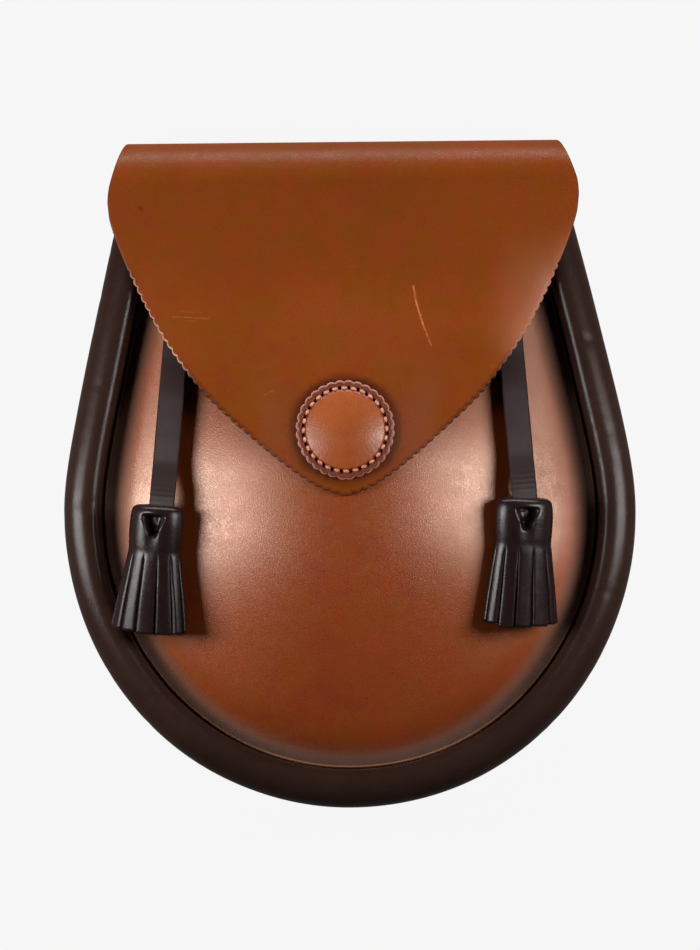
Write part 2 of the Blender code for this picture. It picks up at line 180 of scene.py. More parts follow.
# Where each strap starts and where each tassel hangs: sides are shares of the body's half width
STRAPS = [
    # name, side_at_top, side_at_tassel, tassel_lean_in_degrees
    ("left", -0.570, -0.654, -5.4),
    ("right", 0.555, 0.609, -3.1),
]

# How each tassel lies: the seed of its strips, its width at head and end as shares, and how far it lies aside
TASSEL_LIES = {
    "left": (5, (0.92, 1.04), -0.0013),
    "right": (6, (1.00, 1.02), 0.0),
}

# A tassel from the top of its head to the end of its strips, as shares of its length and its head's sizes
TASSEL_SHAPE = [
    # along, half_width, half_depth
    (0.000, 0.80, 0.74),
    (0.035, 0.94, 0.92),
    (0.120, 1.00, 1.00),
    (0.240, 1.00, 1.00),
    (0.310, 0.98, 0.98),
    (0.370, 0.97, 0.94),
    (0.410, 1.00, 0.95),
    (0.700, 1.15, 0.93),
    (1.000, 1.28, 0.90),
]

# Cut edge of a leather sheet: how far in, and how high as a share of half the thickness
EDGE_PROFILE = [
    # inset, height
    (0.00045, 1.00),
    (0.00016, 0.90),
    (0.00000, 0.55),
    (0.00000, -0.55),
    (0.00016, -0.90),
    (0.00045, -1.00),
]


# Small helpers


def ease(share):
    """A smooth step from 0 to 1."""
    share = np.clip(share, 0, 1)
    return share * share * (3 - 2 * share)


def rising(value, start, length):
    """A smooth step from 0 at start up to 1 a length after it."""
    return ease((value - start) / length)


def falling(value, end, length):
    """A smooth step from 1 down to 0 at end, over the length before it."""
    return ease((end - value) / length)


def smooth_curve(rows, x, column=1):
    """Read a column of a table at x in column 0, along a smooth curve through its rows."""
    table = np.array(rows, float)
    places, values = table[:, 0], table[:, column]
    last = len(rows) - 1
    before = np.maximum(np.arange(last + 1) - 1, 0)
    after = np.minimum(np.arange(last + 1) + 1, last)
    slope = (values[after] - values[before]) / (places[after] - places[before])
    i = np.clip(np.searchsorted(places, x, side="right") - 1, 0, last - 1)
    span = places[i + 1] - places[i]
    t = (x - places[i]) / span
    rise = values[i] * (1 + 2 * t) * (1 - t) ** 2 + values[i + 1] * t * t * (3 - 2 * t)
    return rise + span * (slope[i] * t * (1 - t) ** 2 + slope[i + 1] * t * t * (t - 1))


def lengths_along(points):
    steps = np.linalg.norm(np.diff(points, axis=0), axis=1)
    return np.concatenate([[0], np.cumsum(steps)])


def resample(points, count):
    """Points spaced evenly along a polyline."""
    lengths = lengths_along(points)
    places = np.linspace(0, lengths[-1], count + 1)
    return np.column_stack([np.interp(places, lengths, column) for column in points.T])


def outward(points):
    """Plan directions to the right of a line, which point out of an outline that runs up the right side."""
    ahead = np.vstack([points[1:], points[-1:]])
    behind = np.vstack([points[:1], points[:-1]])
    run = ahead - behind
    out = np.column_stack([run[:, 1], -run[:, 0]])
    return out / np.linalg.norm(out, axis=1, keepdims=True)


def unevenness(x, y, size, seed):
    """The slight unevenness of hand-made leather: crossing waves about size long, between -1 and 1."""
    random = np.random.default_rng(seed)
    waves = 7
    total = np.zeros(np.broadcast(x, y).shape)
    for _ in range(waves):
        turn, phase = random.uniform(0, 2 * math.pi, 2)
        length = size * random.uniform(0.7, 1.6)
        total = total + np.sin(2 * math.pi * (x * math.cos(turn) + y * math.sin(turn)) / length + phase)
    return total / waves


# Form of the pouch


def side_half_width(y):
    """Half width of the body's outline above its widest level."""
    return BODY_HALF_WIDTH - SIDE_TAPER * (np.hypot(y - WIDEST_Y, SIDE_BEND) - SIDE_BEND)


def right_outline():
    """The body's right side in plan, from the middle of the bottom up to the fold."""
    steps = 400
    power = 2 / BOTTOM_FULLNESS
    angle = np.linspace(0, math.pi / 2, steps, endpoint=False)
    round_x = BODY_HALF_WIDTH * np.sin(angle) ** power
    round_y = WIDEST_Y - (WIDEST_Y - BOTTOM_Y) * np.cos(angle) ** power
    side_y = np.linspace(WIDEST_Y, FOLD_TOP_Y, steps)
    side_x = side_half_width(side_y)
    return np.column_stack([np.append(round_x, side_x), np.append(round_y, side_y)])


def right_edge(inset, top_y, count):
    """The body's right side moved inwards, from the bottom up to top_y, in even steps."""
    outline = right_outline()
    moved = outline - outward(outline) * inset
    moved[0, 0] = 0
    kept = moved[moved[:, 1] < top_y]
    top_x = np.interp(top_y, moved[:, 1], moved[:, 0])
    return resample(np.vstack([kept, [top_x, top_y]]), count)


def whole_edge(inset, top_y, count):
    """The whole edge moved inwards, from top left round the bottom to top right, and its directions out."""
    right = right_edge(inset, top_y, count)
    out = outward(right)
    out[0] = (0, -1)
    mirror = np.array([-1, 1])
    return np.vstack([right[:0:-1] * mirror, right]), np.vstack([out[:0:-1] * mirror, out])


FOLD_Y = FOLD_TOP_Y - FOLD_DEPTH / 2
RIM_TOP_HEIGHT = FOLD_DEPTH - SHELL_THICKNESS - ROLL_CLEARANCE - ROLL_RADIUS
PANEL_INSET = 2 * ROLL_RADIUS + CLEARANCE


def rim_height(y):
    """Height of the roll's centre line, which is deeper at the bottom of the pouch than at its mouth."""
    share = (y - BOTTOM_Y) / (FOLD_Y - BOTTOM_Y)
    return RIM_BOTTOM_HEIGHT + (RIM_TOP_HEIGHT - RIM_BOTTOM_HEIGHT) * share


def reach(x, y):
    """0 on the middle line of the front panel and 1 at its edge, squared."""
    across = x / (BODY_HALF_WIDTH - PANEL_INSET)
    down = (WIDEST_Y - y) / (WIDEST_Y - BOTTOM_Y - PANEL_INSET)
    slant = math.hypot(1, SIDE_TAPER)
    above = (x / (side_half_width(y) - PANEL_INSET * slant)) ** 2
    return np.where(y < WIDEST_Y, across**2 + down**2, above)


def panel_height(x, y):
    """Middle of the panel's leather, which is sewn in below the roll's centre line and swells like a bell."""
    fullness = 1 - ease(y / FOLD_Y)
    swell = np.maximum(0.0, 1 - reach(x, y)) ** DOME_POWER
    return rim_height(y) - PANEL_DROP + DOME_HEIGHT * fullness * swell


def flap_half_width(y):
    """Half width of the flap at height y on the front."""
    over = (y - FLAP_WIDEST_Y) / (FOLD_TOP_Y - FLAP_WIDEST_Y)
    above = FLAP_HALF_WIDTH - (FLAP_HALF_WIDTH - FOLD_HALF_WIDTH) * over**2
    share = np.clip((y - FLAP_TIP_Y) / (FLAP_WIDEST_Y - FLAP_TIP_Y), 0, 1)
    return np.where(y > FLAP_WIDEST_Y, above, FLAP_HALF_WIDTH * smooth_curve(FLAP_SHAPE, share))


EDGE_LEVELS = np.linspace(FLAP_TIP_Y, FLAP_WIDEST_Y, 400)
EDGE_WIDTHS = flap_half_width(EDGE_LEVELS)
EDGE_SLOPES = np.gradient(EDGE_LEVELS, EDGE_WIDTHS)


def flap_gap(x, y):
    """Room between panel and flap, which lies close at its lower edge and stands clear at its sides."""
    edge_y = np.interp(np.abs(x), EDGE_WIDTHS, EDGE_LEVELS)
    above_edge = rising(y, edge_y, CLOSE_HEIGHT)
    middle = EDGE_GAP + (STUD_GAP - EDGE_GAP) * above_edge
    towards_side = rising(np.abs(x), CLOSE_HALF_WIDTH, CLOSE_FADE)
    return middle + (SIDE_GAP - middle) * towards_side


def flap_height(x, y):
    """Middle of the flap's leather, over the roll and the panel, which it follows less towards its sides."""
    followed_x = FOLLOW_WIDTH * np.tanh(x / FOLLOW_WIDTH)
    over_panel = panel_height(followed_x, y) + (PANEL_THICKNESS + SHELL_THICKNESS) / 2 + flap_gap(x, y)
    over_roll = rim_height(y) + ROLL_RADIUS + ROLL_CLEARANCE + SHELL_THICKNESS / 2
    return over_roll + ROLL_SOFTNESS * np.logaddexp(0, (over_panel - over_roll) / ROLL_SOFTNESS)


def slopes(middle, x, y):
    """How steeply a surface rises along X and along Y."""
    step = MEASURE_STEP
    along_x = (middle(x + step, y) - middle(x - step, y)) / (2 * step)
    along_y = (middle(x, y + step) - middle(x, y - step)) / (2 * step)
    return along_x, along_y


def face_height(middle, thickness, x, y):
    """Height of the face of a sheet, given the height of its middle."""
    along_x, along_y = slopes(middle, x, y)
    return middle(x, y) + thickness / 2 * np.sqrt(1 + along_x**2 + along_y**2)


def panel_top(x, y):
    return face_height(panel_height, PANEL_THICKNESS, x, y)


def flap_top(x, y):
    return face_height(flap_height, SHELL_THICKNESS, x, y)


def flap_middle_x(y):
    """The flap's middle line leans a little to one side as it comes down."""
    return FLAP_LEAN * (FOLD_Y - y) / (FOLD_Y - FLAP_TIP_Y)


# Materials


def srgb(red, green, blue):
    """A colour as seen on a screen, from 0 to 255, as the light it stands for."""
    shares = [value / 255 for value in (red, green, blue)]
    return tuple(s / 12.92 if s <= 0.04045 else ((s + 0.055) / 1.055) ** 2.4 for s in shares) + (1.0,)


class Finish:
    """A material, with short ways to write its nodes."""

    def __init__(self, name):
        self.material = bpy.data.materials.new(name)
        self.material.use_nodes = True
        self.tree = self.material.node_tree
        self.shader = self.tree.nodes["Principled BSDF"]
        self.place = self.add("ShaderNodeTexCoord").outputs["Object"]

    def add(self, kind, inputs=(), **settings):
        """A node with its settings, and values or links for its inputs."""
        node = self.tree.nodes.new(kind)
        for key, value in settings.items():
            setattr(node, key, value)
        for key, value in dict(inputs).items():
            self.put(node.inputs[key], value)
        return node

    def put(self, socket, value):
        if isinstance(value, bpy.types.NodeSocket):
            self.tree.links.new(value, socket)
        else:
            socket.default_value = value

    def set(self, **values):
        """Set the shader's own sockets, with _ for a space in a socket's name."""
        for key, value in values.items():
            self.put(self.shader.inputs[key.replace("_", " ")], value)

    def vector(self, operation, a, b, output=0):
        return self.add("ShaderNodeVectorMath", {0: a, 1: b}, operation=operation).outputs[output]

    def scaled(self, vector, factor):
        return self.add("ShaderNodeVectorMath", {0: vector, "Scale": factor}, operation="SCALE").outputs[0]

    def noise(self, size, detail=3.0, roughness=0.55):
        """Cloudy noise between 0 and 1, with lumps about size across."""
        inputs = {"Vector": self.place, "Scale": 1 / size, "Detail": detail, "Roughness": roughness}
        return self.add("ShaderNodeTexNoise", inputs).outputs["Fac"]

    def cells(self, size, feature="F1", place=None):
        """Distance within cells about size across, in shares of a cell."""
        inputs = {"Vector": place or self.place, "Scale": 1 / size}
        return self.add("ShaderNodeTexVoronoi", inputs, feature=feature).outputs["Distance"]

    def attribute(self, name):
        return self.add("ShaderNodeAttribute", attribute_name=name).outputs["Fac"]

    def span_linear(self, value, low, high, to_low=0.0, to_high=1.0, course="LINEAR"):
        """Bring a value from one range to another."""
        inputs = {"Value": value, "From Min": low, "From Max": high, "To Min": to_low, "To Max": to_high}
        return self.add("ShaderNodeMapRange", inputs, interpolation_type=course).outputs["Result"]

    def span(self, *values):
        """Bring a value from one range to another, with a soft start and end."""
        return self.span_linear(*values, course="SMOOTHSTEP")

    def maths(self, operation, a, b):
        return self.add("ShaderNodeMath", {0: a, 1: b}, operation=operation).outputs[0]

    def blend(self, share, a, b):
        node = self.add("ShaderNodeMix", data_type="RGBA")
        self.put(node.inputs[0], share)
        self.put(node.inputs[6], a)
        self.put(node.inputs[7], b)
        return node.outputs[2]

    def bump(self, height, depth, normal=None):
        """Relief of a height between 0 and 1, depth deep in metres."""
        inputs = {"Height": height, "Distance": depth, "Strength": 1.0}
        if normal is not None:
            inputs["Normal"] = normal
        return self.add("ShaderNodeBump", inputs).outputs["Normal"]

    def line_mark(self, start, end, width):
        """1 on a line between two places in plan, fading to 0 at width away from it."""
        run = Vector(end) - Vector(start)
        flat = self.vector("MULTIPLY", self.place, (1, 1, 0))
        away = self.vector("SUBTRACT", flat, (*start, 0))
        dot = self.vector("DOT_PRODUCT", away, (*run, 0), 1)
        foot = self.scaled((*run, 0), self.span_linear(dot, 0, run.length_squared))
        return self.span(self.vector("DISTANCE", away, foot, 1), 0, width, 1, 0)


def leather(
    name, colour, deep, pale, gloss, grain, relief, coat=0.0, shine=0.5, uneven=1.0,
    burnt_and_shade=None, second=None, dull=0.0, fine=0.0, specked=0.12,
):
    """Dyed leather: cloudy colour, fine grain with pores, burnished edges, painted shade where a point
    attribute gives it, and a finish of uneven gloss.

    colour, deep and pale are its dyes, gloss is the roughness, and grain and relief are the size and depth
    of its grain. coat and shine are the strengths of its clear coat and its reflections, and uneven says how
    patchy it is. The burnt colour goes on its burnished places and on the shade painted on it, which are
    rougher by dull, and second is a dye that shows in patches. fine is how much the gloss changes from grain
    to grain, and specked is how dark its wide pores are.
    """
    made = Finish(name)
    clouds = made.span(made.noise(0.045, 4.0), 0.30, 0.72, 0.4, 1.0)
    mottle = made.span(made.noise(0.007, 5.0, 0.65), 0.30, 0.75)
    dye = made.blend(clouds, deep, colour)
    dye = made.blend(made.maths("MULTIPLY", mottle, 0.35), dye, pale)
    if second:
        patches = made.span(made.noise(0.013, 6.0, 0.70), 0.40, 0.62, 0.0, 0.85)
        dye = made.blend(patches, dye, second)

    warp = made.add("ShaderNodeTexNoise", {"Vector": made.place, "Scale": 0.6 / grain, "Detail": 2.0})
    bent = made.vector("ADD", made.place, made.scaled(warp.outputs["Color"], grain * 1.2))
    creases = made.span(made.cells(grain, "DISTANCE_TO_EDGE", bent), 0.0, 0.22)
    pores = made.span(made.cells(grain * 0.62, place=bent), 0.05, 0.32)
    fibre = made.noise(grain * 0.45, 4.0, 0.6)
    height = made.maths("ADD", made.maths("MULTIPLY", creases, 0.55), made.maths("MULTIPLY", pores, 0.25))
    height = made.maths("ADD", height, made.maths("MULTIPLY", fibre, 0.6))
    dye = made.blend(made.span(creases, 0.0, 1.0, 0.20, 0.0), dye, deep)
    dye = made.blend(made.span(pores, 0.0, 1.0, 0.22, 0.0), dye, deep)

    specks = made.span(made.cells(grain * 5), 0.05, 0.14, specked, 0.0)
    dye = made.blend(specks, dye, burnt_and_shade or deep)
    # Burnished places and painted shade, both given by one point attribute, take the burnt colour.
    burnish_and_shade = made.attribute("burnish_and_shade")
    made.base = made.blend(burnish_and_shade, dye, burnt_and_shade or deep)
    wear = made.span(made.noise(0.004, 5.0, 0.7), 0.35, 0.70, -0.04 * uneven, 0.06 * uneven)
    patchy = 0.04 * uneven
    rough = made.maths("ADD", made.span(mottle, 0.0, 1.0, gloss + patchy, gloss - patchy), wear)
    if fine:
        grains = made.noise(grain * 0.7, 1.0)
        rough = made.maths("ADD", rough, made.span(grains, 0.25, 0.75, -fine, fine))
    if dull:
        rough = made.maths("ADD", rough, made.maths("MULTIPLY", burnish_and_shade, dull))
    made.set(Base_Color=made.base, Roughness=rough)
    made.set(Coat_Weight=coat, Coat_Roughness=0.28, Specular_IOR_Level=shine)
    made.set(Normal=made.bump(made.noise(0.012, 2.0), 0.00005 * uneven, made.bump(height, relief)))
    return made


def cut_edge(made, core):
    """Show the leather's undyed core where it is cut."""
    fibres = made.span(made.noise(0.0005, 4.0, 0.7), 0.3, 0.7, 0.0, 0.35)
    dark_fibre = (0.10, 0.035, 0.015, 1)
    made.base = made.blend(made.attribute("cut"), made.base, made.blend(fibres, core, dark_fibre))
    made.set(Base_Color=made.base)


def tan_leather():
    """The saddle tan of the back and the flap, with the scratch and marks of its front, a painted sheen on
    the flap's right side, painted shadow under its lower edge and round the button, and a painted glint on
    its cut edge.
    """
    dyes = srgb(113, 48, 11), srgb(94, 40, 5), srgb(123, 52, 19)
    # The burnt colour darkens the flap's burnished lower edge, and it is also the painted shadow under that
    # edge and round the button.
    burnt_and_shade, second = srgb(58, 22, 6), srgb(104, 51, 5)
    made = leather(
        "tan_grain", *dyes, gloss=0.40, grain=0.0009, relief=0.000030, shine=0.11, burnt_and_shade=burnt_and_shade, second=second
    )
    # Painted sheen: the flap's right side is made paler where the right lamp would give it a sheen.
    made.base = made.blend(made.attribute("painted_sheen"), made.base, srgb(186, 124, 98))
    broken = made.span(made.noise(0.0012, 3.0), 0.30, 0.55, 0.15, 0.85)
    pale_mark = srgb(180, 108, 62)
    marks = [
        # start, end, width, strength
        ((0.0214, 0.0583), (0.0222, 0.0530), 0.00048, 0.80),
        ((0.0222, 0.0530), (0.0241, 0.0462), 0.00052, 0.90),
        ((0.0241, 0.0462), (0.0266, 0.0393), 0.00042, 0.60),
        ((-0.0544, 0.0501), (-0.0431, 0.0493), 0.00036, 0.26),
        ((-0.0520, 0.0516), (-0.0452, 0.0512), 0.00030, 0.13),
        ((-0.0505, 0.0488), (-0.0470, 0.0484), 0.00030, 0.11),
        ((-0.0262, 0.0247), (-0.0230, 0.0262), 0.00030, 0.22),
        ((0.0450, 0.0330), (0.0462, 0.0316), 0.00030, 0.22),
    ]
    for start, end, width, strength in marks:
        line = made.maths("MULTIPLY", made.line_mark(start, end, width), broken)
        made.base = made.blend(made.maths("MULTIPLY", line, strength), made.base, pale_mark)
    spot = made.line_mark((-0.0641, 0.0847), (-0.0636, 0.0842), 0.0011)
    made.base = made.blend(made.maths("MULTIPLY", spot, 0.55), made.base, srgb(74, 28, 8))
    # The cut edge is pale where the glint mask says, a painted highlight where the lamps catch it, and dark
    # elsewhere: a dark edge that also stands for the shadow under the flap's lower edge.
    cut_edge(made, made.blend(made.attribute("painted_edge_glint"), srgb(60, 24, 9), srgb(220, 168, 146)))
    return made.material


def flesh_leather():
    """The unfinished inner side of tan leather, matt and fibrous."""
    dyes = srgb(150, 98, 62), srgb(118, 72, 42), srgb(176, 126, 88)
    made = leather("tan_flesh", *dyes, gloss=0.80, grain=0.0014, relief=0.00010)
    cut_edge(made, srgb(176, 116, 84))
    return made.material


def panel_leather():
    """The glossier, finer leather of the front panel, with painted shade along its edge."""
    dyes = srgb(126, 51, 15), srgb(98, 34, 8), srgb(138, 60, 22)
    # Its burnt colour is the painted shade along the panel's edge beside the roll.
    made = leather(
        "panel_grain", *dyes, gloss=0.36, grain=0.0006, relief=0.000024, shine=0.95, uneven=0.5,
        burnt_and_shade=srgb(36, 8, 3), second=srgb(118, 54, 10), dull=0.5, fine=0.07, specked=0.3,
    )
    made.set(Specular_Tint=(1.0, 0.76, 0.61, 1.0))
    cut_edge(made, srgb(60, 24, 12))
    return made.material


def button_leather():
    """The paler tan of the button, burnished outside its dome, with painted shade in its stitch holes."""
    dyes = srgb(142, 68, 22), srgb(108, 46, 12), srgb(156, 82, 38)
    made = leather(
        "button_grain", *dyes, gloss=0.40, grain=0.0009, relief=0.00003, coat=0.03, shine=0.35,
        burnt_and_shade=srgb(88, 38, 24),
    )
    # Painted shade in the stitch holes.
    made.base = made.blend(made.attribute("hole"), made.base, srgb(54, 16, 10))
    cut_edge(made, srgb(196, 132, 110))
    return made.material


def dark_leather(name, dyes, gloss, grain, shine, relief=0.00002, coat=0.0):
    return leather(name, *dyes, gloss, grain, relief, coat, shine, uneven=0.4).material


def thread(name, colour, deep):
    """Waxed thread, twisted."""
    made = Finish(name)
    twist = made.noise(0.0004, 3.0, 0.6)
    dye = made.blend(made.span(twist, 0.35, 0.65), deep, colour)
    made.set(Base_Color=dye, Roughness=made.span(twist, 0.3, 0.7, 0.42, 0.58), Specular_IOR_Level=0.5)
    made.set(Normal=made.bump(twist, 0.00006))
    return made.material


def brass():
    """Plain pressed brass, dulled a little."""
    made = Finish("stud_brass")
    dull = made.noise(0.002, 4.0)
    made.set(
        Base_Color=made.blend(made.span(dull, 0.35, 0.7), srgb(150, 118, 60), srgb(204, 172, 104)),
        Roughness=made.span(dull, 0.3, 0.7, 0.28, 0.46),
        Metallic=1.0,
    )
    made.set(Normal=made.bump(dull, 0.00003))
    return made.material


# Making meshes


def make_piece(name, points, faces, materials, replaced=None, attributes=None, groups=None):
    """A closed mesh that rides on the pouch. groups gives each face the number of its material."""
    mesh = bpy.data.meshes.new(name)
    mesh.from_pydata(np.asarray(points).tolist(), [], faces)
    for key, values in (attributes or {}).items():
        layer = mesh.attributes.new(key, "FLOAT", "POINT")
        layer.data.foreach_set("value", np.asarray(values, np.float32))
    for material in materials:
        mesh.materials.append(material)
    if groups is not None:
        mesh.polygons.foreach_set("material_index", np.asarray(groups, np.int32))
    shape = bmesh.new()
    shape.from_mesh(mesh)
    bmesh.ops.recalc_face_normals(shape, faces=shape.faces)
    shape.to_mesh(mesh)
    shape.free()
    mesh.shade_smooth()
    made = bpy.data.objects.new(name, mesh)
    bpy.context.scene.collection.objects.link(made)
    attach(made, "root")
    if replaced:
        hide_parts(replaced)
    return made


def dress(node, points, faces, materials, attributes=None, groups=None):
    """A leather piece that stands in the place of a solid, burnished and painted with shade only where
    attributes say so.
    """
    attributes = attributes or {"burnish_and_shade": np.zeros(len(points))}
    return make_piece(f"{node}_leather", points, faces, materials, node, attributes, groups)


def tube_faces(rings, count):
    """Quads between rings of points, each with count points in it."""
    faces = []
    for r in range(rings - 1):
        a, b = r * count, (r + 1) * count
        for k in range(count):
            n = (k + 1) % count
            faces.append((a + k, a + n, b + n, b + k))
    return faces


def swept(rings):
    """Points and faces of a closed body through rings, with a fan to the middle of each end ring."""
    rings = np.asarray(rings)
    number, count = rings.shape[:2]
    middles = [rings[0].mean(axis=0), rings[-1].mean(axis=0)]
    points = np.vstack([rings.reshape(-1, 3), middles])
    faces = tube_faces(number, count)
    for end, middle in ((0, number * count), (number - 1, number * count + 1)):
        for k in range(count):
            faces.append((end * count + k, end * count + (k + 1) % count, middle))
    return points, faces


def joined(bodies):
    """The points and faces of several bodies as one mesh."""
    points, faces = [], []
    for more, more_faces in bodies:
        first = sum(map(len, points))
        faces += [tuple(i + first for i in face) for face in more_faces]
        points.append(more)
    return np.vstack(points), faces


def surface_normal(form, x, v):
    """Unit normals of a bent sheet at places on its flat pattern."""
    step = MEASURE_STEP
    along_x = form(x + step, v) - form(x - step, v)
    along_v = form(x, v + step) - form(x, v - step)
    normal = np.cross(along_x, along_v)
    return normal / np.linalg.norm(normal, axis=1, keepdims=True)


def even_grid(low, high, spacing):
    """Places in even staggered rows over a rectangle."""
    row_gap = spacing * math.sqrt(3) / 2
    rows = []
    for r, v in enumerate(np.arange(low[1], high[1], row_gap)):
        xs = np.arange(low[0] + spacing / 2 * (r % 2), high[0], spacing)
        rows.append(np.column_stack([xs, np.full(len(xs), v)]))
    return np.vstack(rows)


class Sheet:
    """A sheet of leather, cut from a flat pattern, bent by a form and rounded along its cut edge."""

    def __init__(self, outline, form, thickness):
        self.outline = outline
        self.form = form
        self.half = thickness / 2
        ahead, behind = np.roll(outline, -1, axis=0), np.roll(outline, 1, axis=0)
        run = ahead - behind
        self.inward = np.column_stack([-run[:, 1], run[:, 0]])
        self.inward /= np.linalg.norm(self.inward, axis=1, keepdims=True)
        self.tree = KDTree(len(outline))
        for i, p in enumerate(outline):
            self.tree.insert((*p, 0), i)
        self.tree.balance()
        self.places = np.empty((0, 2))
        self.margin = 0.0

    def rows(self, insets, low_v=-1.0, every=1):
        """Add places in rows along the outline, at these distances inside it."""
        for inset in insets:
            row = (self.outline + self.inward * inset)[::every]
            away = np.array([self.tree.find((*p, 0))[2] for p in row])
            self.places = np.vstack([self.places, row[(away > inset * 0.93) & (row[:, 1] > low_v)]])
        self.margin = insets[-1]

    def fill(self, low, high, spacing):
        """Add places inside the outline, clear of it, within a rectangle of the pattern."""
        kept = []
        for p in even_grid(low, high, spacing):
            _, i, away = self.tree.find((*p, 0))
            if away > self.margin + spacing * 0.6 and (p - self.outline[i]) @ self.inward[i] > 0:
                kept.append(p)
        self.places = np.vstack([self.places, np.array(kept).reshape(-1, 2)])

    def edge_distance(self, places):
        return np.array([self.tree.find((*p, 0))[2] for p in places])

    def build(self):
        """Points, faces and face groups, which are 0 for the far side of the pattern and 1 for the near side.

        The last two give each point its share of cut edge and its distance inside the outline.
        """
        count = len(self.outline)
        inner = self.outline + self.inward * EDGE_PROFILE[0][0]
        flat = [Vector(p) for p in np.vstack([inner, self.places])]
        verts, _, faces, origin, *_ = delaunay_2d_cdt(flat, [], [list(range(count))], 1, 1e-9)
        rim = np.zeros(count, int)
        for new, sources in enumerate(origin):
            for old in sources:
                if old < count:
                    rim[old] = new
        places = np.array([tuple(p) for p in verts])
        middle = self.form(places[:, 0], places[:, 1])
        normal = surface_normal(self.form, places[:, 0], places[:, 1])
        near, far = middle + normal * self.half, middle - normal * self.half
        size = len(places)
        points = [near, far]
        all_faces = [tuple(f) for f in faces] + [tuple(i + size for i in reversed(f)) for f in faces]
        groups = [1] * len(faces) + [0] * len(faces)
        previous = rim
        first = 2 * size
        cut = [np.zeros(2 * size)]
        for inset, height in EDGE_PROFILE[1:-1]:
            ring = self.outline + self.inward * inset
            points.append(self.form(*ring.T) + surface_normal(self.form, *ring.T) * (self.half * height))
            cut.append(np.full(count, 1.0 if abs(height) < 0.7 else 0.55))
            current = first + np.arange(count)
            all_faces += self.band(previous, current)
            previous = current
            first += count
        all_faces += self.band(previous, rim + size)
        groups += [0] * (len(all_faces) - len(groups))
        away = self.edge_distance(places)
        edge = np.concatenate([away, away, np.zeros(count * (len(EDGE_PROFILE) - 2))])
        return np.vstack(points), all_faces, groups, np.concatenate(cut), edge

    @staticmethod
    def band(a, b):
        count = len(a)
        return [(a[k], a[(k + 1) % count], b[(k + 1) % count], b[k]) for k in range(count)]


# Pieces


def pinked_edge():
    """The flap's right edge from its widest level down to its point, pinked in small round teeth."""
    steps_in_tooth = 8
    roundness = 0.8
    fade = 0.004
    y = np.linspace(FLAP_WIDEST_Y, FLAP_TIP_Y, 600)
    smooth = np.column_stack([flap_half_width(y), y])
    teeth = round(lengths_along(smooth)[-1] / TOOTH_PITCH)
    spaced = resample(smooth, teeth * steps_in_tooth)
    phase = np.arange(len(spaced)) / steps_in_tooth
    notch = 1 - np.abs(np.sin(math.pi * phase)) ** roundness
    depth = TOOTH_DEPTH * notch * falling(spaced[:, 1], TEETH_TOP_Y, fade)
    cut = spaced + outward(spaced) * depth[:, None]
    cut[-1, 0] = 0
    return cut


def flap_curl(x, y):
    """How far the flap's edge bends down where it stands clear, less the lift of its right side."""
    edge_y = np.interp(np.abs(x), EDGE_WIDTHS, EDGE_LEVELS)
    slope = np.interp(np.abs(x), EDGE_WIDTHS, EDGE_SLOPES)
    inside = np.maximum(0, (y - edge_y) / np.hypot(1, slope))
    clear = rising(np.abs(x), 0.030, 0.020) * falling(y, FOLD_Y, 0.012)
    over_roll = rising(np.abs(x), side_half_width(y) - 2 * ROLL_RADIUS, 0.004)
    depth = np.where(x > 0, CURL_RIGHT, CURL_LEFT) * rising(y, 0.033, 0.016) * (1 - over_roll)
    lift = SIDE_LIFT * rising(x, 0.030, 0.018) * rising(y, 0.030, 0.012) * falling(y, FOLD_Y, 0.025)
    return clear * depth * np.exp(-inside / CURL_REACH) - lift


